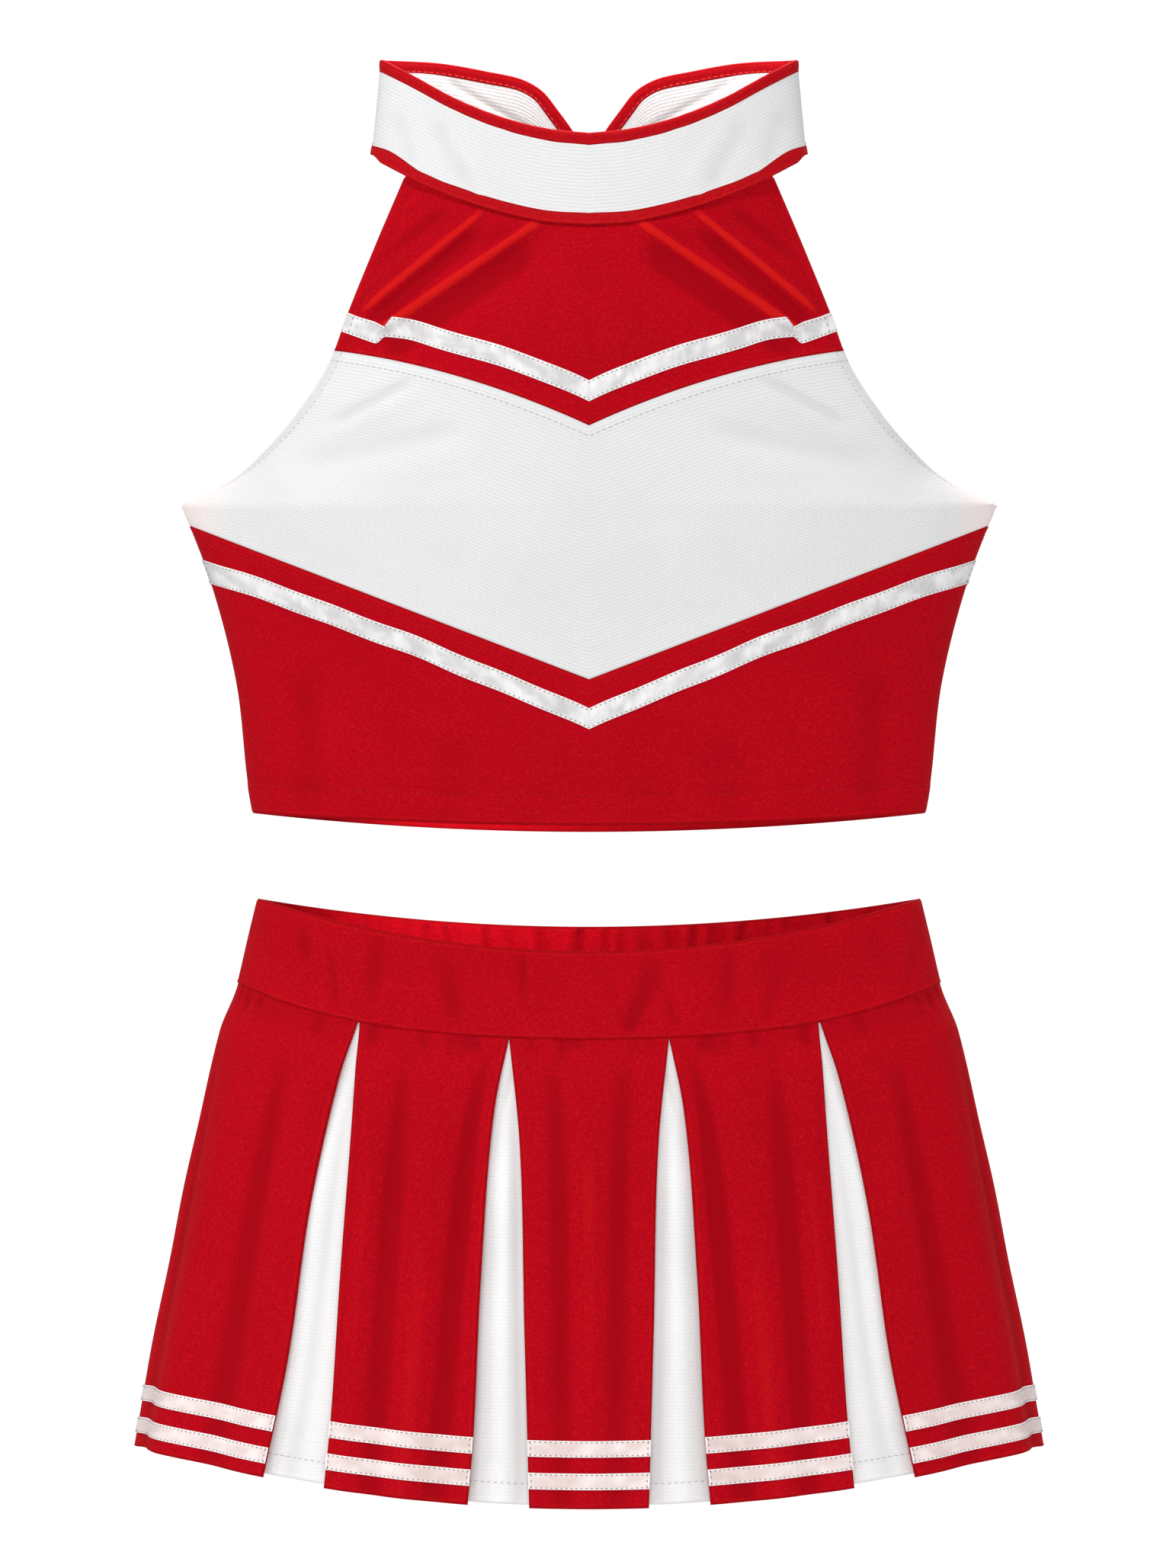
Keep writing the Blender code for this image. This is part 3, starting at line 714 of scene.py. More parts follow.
def knit(name, light, dark, wear_and_highlight, ribs, sheen, sheen_tint, gloss, mottle=1.0, rib_tone=0.55, blush=None):
    """Stretch knit: soft colour changes, a fine grain, ribs, rubbed edges, painted shade and painted
    highlights.

    mottle and rib_tone say how much the grain and the ribs darken it; blush is the pink tint that the outer
    ends of the cloth are given.
    ends of the cloth have taken on.
    """
    n = Nodes(name)
    place = n.stored("cloth")
    grain = n.noise(place, 1500.0, 2.0, 0.6)
    flecks = n.noise(place, 620.0, 3.0, 0.7)
    slub = n.noise(n.stretched(place, (420.0, 760.0, 1.0)), 1.0, 2.0)
    wales = n.waves(place, "X", ribs * 0.62, 0.8)
    loops = n.times(n.math("ADD", n.waves(place, "Y", ribs, 1.2), n.times(wales, 0.5)), 0.66)
    fold, edge = n.part("fold", "X"), n.part("cloth", "Z")
    rubbed = n.ramp(n.noise(place, 220.0), 0.3, 0.7, 0.1, 0.55)
    layers = [
        (n.times(n.ramp(n.noise(place, 16.0, 3.0), 0.35, 0.65), 0.22), dark),
        (n.times(n.ramp(grain, 0.60, 0.34), 0.70 * mottle), dark),
        (n.times(n.ramp(slub, 0.58, 0.36), 0.40 * mottle), dark),
        (n.times(n.ramp(flecks, 0.50, 0.30), 0.55 * mottle), dark),
        (n.times(n.ramp(flecks, 0.52, 0.72), 0.45 * mottle), wear_and_highlight),
        (n.times(n.ramp(loops, 0.60, 0.0), rib_tone), dark),
        (n.times(n.part("fold", "Y"), 0.80), dark),
        # painted shade in the hollows of folds and painted highlights on their ridges, from the stored fold
        # height
        (n.ramp(fold, 0.05, -0.65, 0.0, 0.80), dark),
        (n.ramp(fold, 0.60, 1.30, 0.0, 0.65), wear_and_highlight),
        (n.times(n.ramp(edge, 0.0024, 0.0006), rubbed), wear_and_highlight),
        # painted shade along every edge, standing in for the shadow at hems and seams
        (n.ramp(edge, 0.0013, 0.0004, 0.0, 0.80), dark),
    ]
    if blush:
        layers.append((n.ramp(n.math("ABSOLUTE", n.part("cloth", "X"), 0.0), *BLUSH), blush))
    n.paint(light, layers)
    n.rough(n.ramp(grain, 0.3, 0.7, 0.62, 0.85))
    n.bump(n.math("ADD", loops, n.times(grain, 1.1)), 0.45, 0.00022)
    n.constants(Sheen_Weight=sheen, Sheen_Roughness=0.35, Sheen_Tint=sheen_tint, Specular_IOR_Level=gloss)
    return n.material


def satin(name, light, shade, selvedge):
    """Satin ribbon: a tight weave along it, glossy, with cloudy patches, streaks across and woven edges."""
    n = Nodes(name)
    place = n.stored("cloth")
    streaks = n.noise(n.stretched(place, (160.0, 24.0, 1.0)), 1.0, 3.0)
    patches = n.noise(n.stretched(place, (70.0, 110.0, 1.0)), 1.0, 2.0)
    n.paint(light, [
        (n.ramp(patches, 0.42, 0.60, 0.0, 0.75), shade),
        (n.ramp(streaks, 0.40, 0.75, 0.0, 0.45), shade),
        # painted shade in the hollows of the puckers
        (n.ramp(n.part("fold", "X"), 0.0, -0.45, 0.0, 0.8), shade),
        (n.ramp(n.part("cloth", "Z"), 0.0011, 0.0006), selvedge),
    ])
    n.rough(n.ramp(streaks, 0.3, 0.7, 0.24, 0.40))
    weave, ends = n.waves(place, "Y", 0.00034, 0.4), n.waves(place, "X", 0.0005, 0.6)
    height = n.math("ADD", n.times(weave, 0.35), n.times(ends, 0.15))
    n.bump(n.math("ADD", height, n.times(streaks, 2.0)), 0.30, 0.0002)
    n.constants(Anisotropic=0.4, Sheen_Weight=0.15, Specular_IOR_Level=0.6)
    return n.material


def tape(name, light, dark):
    """Hook or loop tape: a dense pile of tiny bristles."""
    n = Nodes(name)
    place = n.stored("cloth")
    pile = n.add("ShaderNodeTexVoronoi", {"Vector": place, "Scale": 1300.0}).outputs["Distance"]
    fuzz = n.noise(place, 900.0, 4.0, 0.7)
    n.paint(light, [(n.ramp(pile, 0.1, 0.6), dark)])
    n.rough(n.ramp(fuzz, 0.3, 0.7, 0.75, 0.95))
    n.bump(n.math("SUBTRACT", fuzz, pile), 0.8, 0.0005)
    n.constants(Sheen_Weight=0.3)
    return n.material


def thread(name, light, dark):
    n = Nodes(name)
    place = n.add("ShaderNodeTexCoord").outputs["Object"]
    twist = n.noise(place, 2600.0, 2.0)
    n.paint(light, [(n.ramp(twist, 0.35, 0.65), dark)])
    n.rough(n.ramp(twist, 0.3, 0.7, 0.45, 0.65))
    n.bump(twist, 0.4, 0.0001)
    n.constants(Specular_IOR_Level=0.1)
    return n.material


# Each knit's third colour serves its light flecks, its rubbed edges and the painted highlights on its fold
# ridges.
RED_KNIT = knit(
    "red_knit_look", (0.590, 0.0015, 0.0118), (0.340, 0.0008, 0.0055), (0.70, 0.012, 0.008),
    ribs=0.0008, sheen=0.08, sheen_tint=(1.0, 0.06, 0.01), gloss=0.03)
WHITE_KNIT = knit(
    "white_knit_look", (0.83, 0.83, 0.832), (0.66, 0.662, 0.665), (0.89, 0.89, 0.89),
    ribs=0.0017, sheen=0.05, sheen_tint=(1.0, 1.0, 1.0), gloss=0.2, mottle=0.4, rib_tone=0.95,
    blush=(0.93, 0.81, 0.80))
# The same white knit as WHITE_KNIT, painted lighter to offset the shade that the inserts hang in behind the
# panels.
INSERT_KNIT_PAINTED_LIGHT = knit(
    "insert_knit_painted_light_look", (0.94, 0.94, 0.942), (0.75, 0.752, 0.755), (0.96, 0.96, 0.96),
    ribs=0.0017, sheen=0.05, sheen_tint=(1.0, 1.0, 1.0), gloss=0.2, mottle=0.4, rib_tone=0.45)
BINDING = knit(
    "binding_look", (0.580, 0.0035, 0.0110), (0.360, 0.0012, 0.0060), (0.70, 0.016, 0.010),
    ribs=0.0006, sheen=0.10, sheen_tint=(1.0, 0.08, 0.02), gloss=0.05)
SATIN = satin("satin_look", (0.86, 0.85, 0.85), (0.56, 0.55, 0.55), (0.84, 0.84, 0.84))
PINK_SATIN = satin(
    "skirt_satin_look", (0.88, 0.77, 0.76), (0.72, 0.56, 0.53), (0.88, 0.83, 0.82))
TAPE = tape("tape_look", (0.80, 0.79, 0.77), (0.55, 0.54, 0.52))
RED_THREAD = thread("red_thread_look", (0.56, 0.010, 0.014), (0.38, 0.003, 0.006))
BINDING_THREAD = thread("binding_thread_look", (0.78, 0.10, 0.08), (0.56, 0.03, 0.03))
WHITE_THREAD = thread("white_thread_look", (0.60, 0.60, 0.60), (0.42, 0.42, 0.42))
RIBBON_THREAD = thread("ribbon_thread_look", (0.40, 0.33, 0.33), (0.24, 0.18, 0.18))

# Folds of the front, mirrored about the centre plane, as creases() takes them.
BODICE_FRONT_CREASES = (
    ((0.020, -0.0300), (0.105, -0.0880), 0.0024, 2.8 * MM, 0.12),
    ((0.022, -0.0430), (0.103, -0.0990), 0.0075, -2.8 * MM, 0.20),
    ((0.046, -0.0240), (0.115, -0.0810), 0.0026, 2.0 * MM, 0.15),
    ((0.050, -0.0350), (0.112, -0.0870), 0.0036, -2.2 * MM, 0.20),
    ((0.062, -0.0220), (0.116, -0.0620), 0.0040, -1.4 * MM, 0.25),
    ((0.076, -0.0180), (0.113, -0.0470), 0.0026, 0.9 * MM),
    ((0.003, -0.0600), (0.012, -0.1040), 0.0100, 0.5 * MM),
    ((0.078, -0.1040), (0.128, -0.1310), 0.0032, -1.7 * MM),
    ((0.076, -0.1100), (0.134, -0.1390), 0.0050, 1.1 * MM),
    ((0.050, -0.1270), (0.146, -0.1500), 0.0065, -1.4 * MM),
    ((0.045, -0.1390), (0.150, -0.1610), 0.0080, 1.0 * MM),
    ((0.040, -0.1700), (0.050, -0.2150), 0.0140, 0.5 * MM),
    ((0.136, -0.2350), (0.133, -0.3250), 0.0100, -1.8 * MM),
    ((0.112, -0.2400), (0.108, -0.3300), 0.0140, 0.9 * MM),
    ((0.060, -0.2700), (0.070, -0.3300), 0.0140, -0.9 * MM),
)


def bodice_front_relief(cloth):
    total = creases(cloth, BODICE_FRONT_CREASES, uneven(cloth, 3, 0.085, 0.35 * MM))
    return total * smooth((top_edge(cloth.z) - cloth.reach) / 0.016 + 0.10)


def piece(slot, node, finish, cloth, lift, thick, *also, body=None, fold_size=0.012, facing=0.0):
    """A piece of cloth that stands for its CAD node. It rides on a body if one is given."""
    made = make(f"{node}_fabric", finish, cloth, lift, thick, fold_size, facing)
    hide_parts(node, *also)
    if body:
        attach(made, body)
    return made


def ribbon(node, finish, cloth, lift, body):
    return piece("white_satin", node, finish, cloth, lift, RIBBON_THICK, body=body, fold_size=0.003)


def sew_ribbon(sewing, cloth, distance, end_distance=None, radius=0.00026):
    """Fine stitches along a ribbon's long edges and, if its ends are sewn down, across them."""
    rows = [("top", distance), ("bottom", distance)]
    if end_distance:
        rows += [("left", end_distance), ("right", end_distance)]
    for edge, gap in rows:
        sewing.sew(*stitch_line(cloth, edge, gap), length=RIBBON_STITCH, gap=RIBBON_STITCH_GAP, radius=radius)


def hemmed(gap, hem):
    """The thickness of a knit that is turned under up to this distance from an edge."""
    return KNIT + (TURNED - KNIT) * smooth((hem - gap) / 0.001)


def flat_cut(cloth):
    """(width, length) and area of the cloth before it was folded and sewn."""
    rows = (cloth.left[:, -1][1:] + cloth.left[:, -1][:-1]) / 2
    step = np.diff(cloth.top.mean(1))
    return (float(cloth.left[:, -1].max()), float(cloth.top[-1].max())), float((rows * step).sum())


def declare(cloth, fullness=1.0):
    (width, length), area = flat_cut(cloth)
    width *= fullness
    area = min(area * fullness, width * length)


def front_reach(z):
    """The front's edge: a little past the side seam, and the armhole above it."""
    past = np.where(z > UNDERARM_Z, 0.0, OVERLAP / top_depth(z))
    return top_edge_angle(z) + past


def eased(cloth, length):
    """The lift that rounds the form's bend at the underarm; none at the cloth's edges."""
    y = cloth.base[..., 1]
    cells = int(round(length * (y.shape[0] - 1) / cloth.top[-1].mean()))
    return (averaged(y, cells, 0) - y) * cloth.out[..., 1] * smooth(cloth.edge / 0.012)


def ribbon_grid(length, step, width=0.010, rows=0.0011):
    return spaced(length, step, RIBBON_LINES), spaced(width, rows, RIBBON_LINES)


def front_patch(top, bottom, columns, rows):
    return patch(top_form, lambda z: -front_reach(z), front_reach, top, bottom, columns, rows)


def bodice_front():
    side_top = float(upper_chevron(armhole_edge(UPPER_CHEVRON_END_Z)))
    side_bottom = float(lower_chevron(side_seam(LOWER_CHEVRON_END_Z)))
    underarm = (side_top - UNDERARM_Z) / (side_top - side_bottom)
    upper = front_patch(
        lambda a, x: collar_bottom(np.abs(x)) + YOKE_UNDER_COLLAR, shifted(upper_chevron, -OVERLAP),
        spaced(0.23, 0.0013), spaced(0.10, 0.0013))
    middle = front_patch(
        shifted(upper_chevron, OVERLAP), shifted(lower_chevron, -OVERLAP),
        spaced(0.38, 0.0024), np.union1d(spaced(0.12, 0.0024), [underarm]))
    lower = front_patch(
        shifted(lower_chevron, OVERLAP), shifted(front_hem), spaced(0.36, 0.0024), spaced(0.07, 0.0022))
    for cloth, node, slot, finish in (
        (upper, "bodice_front_upper", "red_knit", RED_KNIT),
        (middle, "bodice_front_middle", "white_knit", WHITE_KNIT),
        (lower, "bodice_front_lower", "red_knit", RED_KNIT),
    ):
        open_edge = smooth((cloth.z - UNDERARM_Z) / 0.004)
        relief = bodice_front_relief(cloth) + open_edge * turned_edge(cloth.side, ARMHOLE_BAND, 0.30 * MM)
        thick = KNIT + (hemmed(cloth.side, ARMHOLE_BAND) - KNIT) * open_edge
        facing = 0.0
        if cloth is upper:
            relief = relief - 0.9 * MM * smooth((0.0030 - cloth.top) / 0.002)
        elif cloth is middle:
            relief = relief + eased(cloth, 0.018) + turned_edge(cloth.top, TOPSTITCH, 0.18 * MM)
            facing = open_edge * smooth((ARMHOLE_BAND - cloth.side) / 0.0006)
        else:
            relief = relief + turned_edge(cloth.bottom, TOP_HEM, 0.25 * MM)
            thick = hemmed(cloth.bottom, TOP_HEM)
        made = piece(slot, node, finish, cloth, relief, thick, body="top", facing=facing)
        declare(cloth)
    red, white = Thread(RED_THREAD), Thread(WHITE_THREAD)
    for edge in ("left", "right"):
        red.sew(*stitch_line(upper, edge, ARMHOLE_BAND, start=0.05))
        white.sew(*stitch_line(middle, edge, ARMHOLE_BAND, end=underarm * 0.8))
    white.sew(*stitch_line(middle, "top", TOPSTITCH))
    for distance in (TOPSTITCH, SECOND_TOPSTITCH):
        red.sew(*stitch_line(lower, "top", distance))
    red.sew(*stitch_line(lower, "bottom", TOP_HEM))
    return red, white


def bodice_ribbons(sewing):
    for seed, node, head, foot in (
        (11, "upper_chevron_ribbon", upper_ribbon, upper_ribbon_foot),
        (12, "lower_chevron_ribbon", lower_ribbon, lower_ribbon_foot),
    ):
        cloth = front_patch(shifted(head), shifted(foot), *ribbon_grid(0.30, 0.0009))
        relief = bodice_front_relief(cloth) + puckers(cloth, seed, 190, 0.80 * MM)
        relief = relief - 0.35 * MM * bell(cloth.x / 0.0007)
        ribbon(node, SATIN, cloth, relief + RIBBON_LIFT, "top")
        sew_ribbon(sewing, cloth, CHEVRON_RIBBON_SEAM, ARMHOLE_BAND)


def back_relief(cloth):
    total = creases(cloth, (
        ((0.035, -0.205), (0.045, -0.330), 0.0120, 0.9 * MM),
        ((0.075, -0.200), (0.090, -0.330), 0.0100, -1.1 * MM),
        ((0.120, -0.195), (0.130, -0.330), 0.0100, 0.8 * MM),
    ), uneven(cloth, 8, 0.070, 0.45 * MM))
    return total * smooth((side_seam(cloth.z) - cloth.reach) / 0.012 + 0.10)


def bodice_back(red, white, ribbons):
    def strip(raised, lowered, *grid):
        top, bottom = shifted(back_neckline, raised), shifted(back_neckline, lowered)
        return patch(top_form, *to_seams(top_form, 2 * QUARTER), top, bottom, *grid)

    main = patch(
        top_form, *to_seams(top_form, 2 * QUARTER), shifted(back_neckline, OVERLAP - BACK_EDGING),
        shifted(back_hem), spaced(0.36, 0.0024), spaced(0.12, 0.0024))
    relief = back_relief(main) + turned_edge(main.bottom, TOP_HEM, 0.25 * MM)
    made = piece("red_knit", "bodice_back", RED_KNIT, main, relief, hemmed(main.bottom, TOP_HEM), body="top")
    declare(main)
    edging = strip(0.0, -BACK_EDGING - OVERLAP, spaced(0.36, 0.0018), spaced(0.010, 0.0011))
    relief = back_relief(edging) + 0.25 * MM * smooth((0.008 - edging.top) / 0.001)
    piece("white_knit", "back_edging", WHITE_KNIT, edging, relief, TURNED, body="top")
    band = strip(-BACK_RIBBON_DROP, -BACK_RIBBON_DROP - CHEVRON_RIBBON_WIDTH, *ribbon_grid(0.36, 0.0010))
    relief = back_relief(band) + puckers(band, 13, 190, 0.7 * MM) + RIBBON_LIFT
    ribbon("back_ribbon", SATIN, band, relief, "top")
    sew_ribbon(ribbons, band, CHEVRON_RIBBON_SEAM)
    red.sew(*stitch_line(main, "bottom", TOP_HEM))
    white.sew(*stitch_line(edging, "bottom", 0.0018))


def binding_shape(cloth, sewn):
    """(outer lift, thickness) of a folded binding: full at its fold and flatter at its sewn edge."""
    gap = getattr(cloth, sewn)
    full = smooth(gap / 0.0045)
    lift = BINDING_PROUD * mix(0.45, 1.15, full) - 0.18 * MM * bell((gap - BINDING_SEAM) / 0.0005)
    return lift, 2 * lift + KNIT


def sew_binding(sewing, cloth, sewn):
    for face in ("outer", "inner"):
        sewing.sew(*stitch_line(cloth, sewn, BINDING_SEAM, face))


def collar_relief(cloth):
    return creases(cloth, (
        ((0.076, 0.020), (0.052, -0.022), 0.0050, -0.9 * MM),
        ((0.068, 0.016), (0.044, -0.020), 0.0050, 0.6 * MM),
        ((0.094, 0.024), (0.082, -0.010), 0.0050, -0.8 * MM),
    ), uneven(cloth, 21, 0.050, 0.18 * MM))


def collar_front(red):
    def strip(top, bottom, rows):
        return patch(
            collar_form, *to_seams(collar_form), lambda a, x: top(np.abs(x)),
            lambda a, x: bottom(np.abs(x)), spaced(0.25, 0.0018), rows)

    narrow = spaced(BINDING_WIDTH, 0.0006, BINDING_LINES)
    top_strip = strip(collar_top, lambda x: collar_top(x) - BINDING_WIDTH, narrow)
    body = strip(
        lambda x: collar_top(x) - BINDING_WIDTH + UNDER_FRONT_BINDING,
        lambda x: collar_bottom(x) + BINDING_WIDTH - UNDER_FRONT_BINDING, spaced(0.035, 0.0020))
    low_strip = strip(low_binding_top, collar_foot, narrow)
    for node, cloth, sewn in (
        ("collar_front_top_binding", top_strip, "bottom"), ("collar_front_bottom_binding", low_strip, "top"),
    ):
        lift, thick = binding_shape(cloth, sewn)
        lift = lift + collar_relief(cloth) * 0.4 + uneven(cloth, 5, 0.012, 0.10 * MM)
        piece("red_binding", node, BINDING, cloth, lift, thick, body="top")
        sew_binding(red, cloth, sewn)
    made = piece("white_knit", "collar_front", WHITE_KNIT, body, collar_relief(body), KNIT, body="top")
    declare(body)


def strap_points(t, distance):
    """Points of a strap's edge at t, moved into the strap by distance."""
    x, z = strap_edge_x(t), strap_edge_z(t)
    run = strap_edge_x(t - 0.02) - strap_edge_x(t + 0.02)
    rise = strap_edge_z(t - 0.02) - strap_edge_z(t + 0.02)
    size = np.hypot(run, rise)
    return x + distance * rise / size, z - distance * run / size


def strap_patch(sign, x, z, across, down):
    """The patch of a strap whose points are this far from the centre plane and this high."""
    seam = QUARTER - OVERLAP / collar_form.half_depth(z)
    angle = np.where(across <= 0, seam, np.minimum(collar_form.angle(x, z), seam))
    return Patch(collar_form, sign * (2 * QUARTER - angle), z, across, down)


def strap_patches(sign):
    """A strap's top binding, which runs down the tip too, its white body and its bottom binding."""
    t = np.sort(np.concatenate([np.linspace(0, 1, 130), [0.004]]))[None, :]
    rows = spaced(BINDING_WIDTH, 0.0006, BINDING_LINES)[:, None]
    # The edging runs down the tip and stops on the bottom binding.
    x, z = strap_points(t, BINDING_WIDTH * rows)
    floor = strap_foot(STRAP_TIP) + BINDING_WIDTH - 0.0008
    top = strap_patch(sign, x, np.maximum(z, floor + 0.0001 * (1 - t)), t, rows)
    x, z = strap_points(t, BINDING_WIDTH - UNDER_STRAP_BINDING)
    keep = z[0] > strap_foot(x[0]) + BINDING_WIDTH + 0.0015
    x, z, t = x[:, keep], z[:, keep], t[:, keep]
    down = spaced(0.045, 0.0012)[:, None]
    z = mix(z, strap_foot(x) + BINDING_WIDTH - UNDER_STRAP_BINDING, down)
    body = strap_patch(sign, x + 0 * z, z, t, down)
    across = np.linspace(0, 1, 80)[None, :]
    x = np.linspace(COLLAR_HALF_WIDTH, STRAP_TIP, 80)[None, :] + 0 * rows
    bottom = strap_patch(sign, x, strap_foot(x) + BINDING_WIDTH * (1 - rows), across, rows)
    return top, body, bottom


def collar_strap(sign, side):
    """One back half of the collar: a strap with its bindings, which bends behind the side seam."""
    top, body, bottom = strap_patches(sign)
    sewing = Thread(BINDING_THREAD)
    made = []
    for node, cloth, sewn in (("top_binding", top, "bottom"), ("bottom_binding", bottom, "top")):
        lift, thick = binding_shape(cloth, sewn)
        made.append(piece("red_binding", f"collar_{side}_{node}", BINDING, cloth, lift, thick))
        sew_binding(sewing, cloth, sewn)
    relief = creases(body, (
        ((0.099, 0.040), (0.052, 0.011), 0.0014, 1.5 * MM, 0.12),
        ((0.099, 0.036), (0.052, 0.007), 0.0020, -1.2 * MM, 0.12),
        ((0.070, 0.036), (0.020, 0.008), 0.0016, 0.6 * MM, 0.12),
    ), uneven(body, 31, 0.040, 0.20 * MM))
    made.append(piece("white_knit", f"collar_{side}_strap", WHITE_KNIT, body, relief, KNIT))
    declare(body)
    made.append(sewing.done(f"collar_{side}_stitches"))
    for part in made:
        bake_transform(part)


def collar_closure():
    """The left strap's tab over the right strap's tip, with a tape on each face that meets."""
    def block(node, slot, finish, margin, inner, thick, body, ends=(TAB_ROOT, -TAB_REACH)):
        across, down = spaced(0.036, 0.0012)[None, :], spaced(0.014, 0.0012)[:, None]
        z = mix(TAB_TOP_Z - margin, TAB_BOTTOM_Z + margin, down) + 0 * across
        angle = 2 * QUARTER - collar_form.angle(mix(*ends, across), z)
        cloth = Patch(collar_form, angle, z, across, down)
        lift = inner + thick + uneven(cloth, 41, 0.012, 0.10 * MM)
        piece(slot, node, finish, cloth, lift, thick, body=body)
        return cloth

    tab = block("collar_tab", "red_binding", BINDING, 0.0, TAB_LIFT, KNIT, "collar_left")
    for node, inner, body in (
        ("hook_tape", TAB_LIFT - TAPE_THICK, "collar_left"),
        ("loop_tape", BINDING_PROUD + 0.1 * MM, "collar_right"),
    ):
        ends = -TAPE_MARGIN, TAPE_MARGIN - TAB_REACH
        block(node, "tape", TAPE, TAPE_MARGIN, inner, TAPE_THICK, body, ends)
    sewing = Thread(RED_THREAD)
    for edge in ("top", "bottom", "left", "right"):
        sewing.sew(*stitch_line(tab, edge, 0.0016, start=0.06, end=0.94))
    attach(sewing.done("collar_tab_stitches"), "collar_left")


# ---------------------------------------------------------------- skirt

def dimples(cloth, count=26):
    """Short upright hollows, and a few low ridges, where the waistband has been creased."""
    draw = np.random.default_rng(52)
    ends = smooth(cloth.bottom / 0.003) * smooth(cloth.top / 0.004)
    total = 0.0
    for _ in range(count):
        at, wide, tall = draw.uniform(-0.155, 0.155), draw.uniform(0.0022, 0.0060), draw.uniform(-1, 0.3)
        middle, half, lean = draw.uniform(0.006, 0.034), draw.uniform(0.007, 0.018), draw.uniform(-0.4, 0.4)
        aside = cloth.x - at - lean * (cloth.bottom - middle)
        total = total + tall * bell(aside / wide) * bell((cloth.bottom - middle) / half)
    return 1.0 * MM * total * ends


def waistband():
    def half(front, step):
        middle = 0.0 if front else 2 * QUARTER
        return patch(
            waist_form, *to_seams(waist_form, middle), lambda a, x: waist_top(x, front),
            lambda a, x: waist_seam(x, front), spaced(0.40, step), spaced(0.042, 0.0022))

    front = half(True, 0.0022)
    relief = uneven(front, 51, 0.040, 0.30 * MM) + waist_bulge(front) + dimples(front)
    made = piece("red_knit", "waistband_front", RED_KNIT, front, relief, WAISTBAND_THICK, body="skirt")
    declare(front)
    back = half(False, 0.0008)
    lift, thick = gathers(back)
    made = piece(
        "red_knit", "waistband_back", RED_KNIT, back, lift + waist_bulge(back), thick, "waist_elastic",
        body="skirt", fold_size=0.007)
    declare(back, fullness=1.2)
    sewing = Thread(RED_THREAD)
    for distance in WAIST_STITCHES:
        sewing.sew(*stitch_line(back, "top", distance, start=0.01, end=0.99))
    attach(sewing.done("waistband_stitches"), "skirt")


def waist_bulge(cloth):
    """The waistband leans out towards the skirt's girth in front and behind, less so at the sides."""
    gap = ((skirt_form.points(cloth.angle, cloth.z) - cloth.base) * cloth.out).sum(-1)
    return gap * BULGE * np.cos(cloth.angle) ** 2 * smooth(1 - cloth.bottom / 0.036)


def gathers(cloth):
    """(outer lift, thickness) of the back waistband, which its elastic pulls into upright gathers."""
    draw = np.random.default_rng(61)
    place = cloth.left - cloth.left[:, -1:] / 2
    total, half = 0.0, 0.21  # a little more than half of the cloth's width
    at = -half
    while at < half:
        wide, tall, lean = draw.uniform(0.0018, 0.0048), draw.uniform(0.3, 1.1), draw.uniform(-0.22, 0.22)
        reach = smooth(1.15 - draw.uniform(0.0, 0.8) * np.abs(cloth.down * 2 - 1))
        total = total + tall * reach * bell((place - at - lean * (cloth.top - 0.02)) / wide)
        at += wide * draw.uniform(1.6, 3.4)
    ends = smooth(cloth.side / 0.012)
    held = 1 - sum(0.5 * bell((cloth.top - distance) / 0.0010) for distance in WAIST_STITCHES)
    lift = (total - 0.5) * 2.0 * MM * ends * held
    thick = mix(WAISTBAND_THICK, CASING_THICK, ends) + 2 * lift
    return lift, np.maximum(thick, 1.4 * MM)


def is_front(angle):
    return np.cos(angle) >= 0


def pleat_angle(edge, back, lap=0.0):
    """The angle at each height of a panel edge that lies edge(z) from the centre plane, at +X.

    An insert's edge passes it by a lap that grows towards the hem: outwards, or inwards if lap is negative.
    """
    raised = SEAM_BACK_Z - SEAM_FRONT_Z if back else 0.0

    def at(z):
        passed = math.copysign(1, lap) * down_skirt(z, UNDERLAP_TOP, abs(lap)) if lap else 0.0
        angle = skirt_form.angle(edge(z - raised) + passed, z)
        return 2 * QUARTER - angle if back else angle
    return at


def down_skirt(z, at_top, at_hem):
    """A size that changes from the waist seam nearly to the hem."""
    return mix(at_top, at_hem, np.clip((SEAM_FRONT_Z - z) / 0.2, 0, 1))


def gore_top(angle, x):
    return waist_seam(x, is_front(angle))


def gore_hem(angle, x):
    return skirt_hem(x, is_front(angle))


def gore_bend(made):
    """Bakes the cloth's placement into its mesh."""
    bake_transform(made)


# Upright folds of each kind of panel: share across at the top and at the hem, half width, height.
PANEL_FOLDS = {
    "front": (
        (0.50, 0.50, 0.0090, 0.9 * MM), (0.26, 0.30, 0.0080, -1.5 * MM), (0.74, 0.70, 0.0080, -1.5 * MM),
    ),
    "beside": (
        (0.10, 0.24, 0.0080, -2.4 * MM), (0.38, 0.46, 0.0100, 1.2 * MM), (0.64, 0.66, 0.0085, -2.0 * MM),
        (0.86, 0.86, 0.0080, 0.9 * MM),
    ),
    "side": (
        (0.14, 0.13, 0.0100, -2.2 * MM), (0.27, 0.29, 0.0120, 1.6 * MM), (0.42, 0.41, 0.0110, -1.8 * MM),
        (0.58, 0.61, 0.0120, 1.4 * MM), (0.74, 0.73, 0.0100, -2.0 * MM), (0.88, 0.88, 0.0100, 1.2 * MM),
    ),
}


def behind_waistband(cloth):
    """The lift that puts a point of the skirt on the waistband's outer face."""
    gap = ((cloth.base - waist_form.points(cloth.angle, cloth.z)) * cloth.out).sum(-1)
    return -gap * (1 - BULGE * np.cos(cloth.angle) ** 2)


def panel_relief(cloth, kind, seed):
    folds = upright_folds(cloth, PANEL_FOLDS[kind], SEAM_FRONT_Z + 0.010, HEM_FRONT_Z)
    edge = smooth(cloth.side / 0.010)
    sway = uneven(cloth, seed, 0.085, 0.60 * MM)
    return (1.4 * folds + sway) * mix(0.25, 1.0, edge)


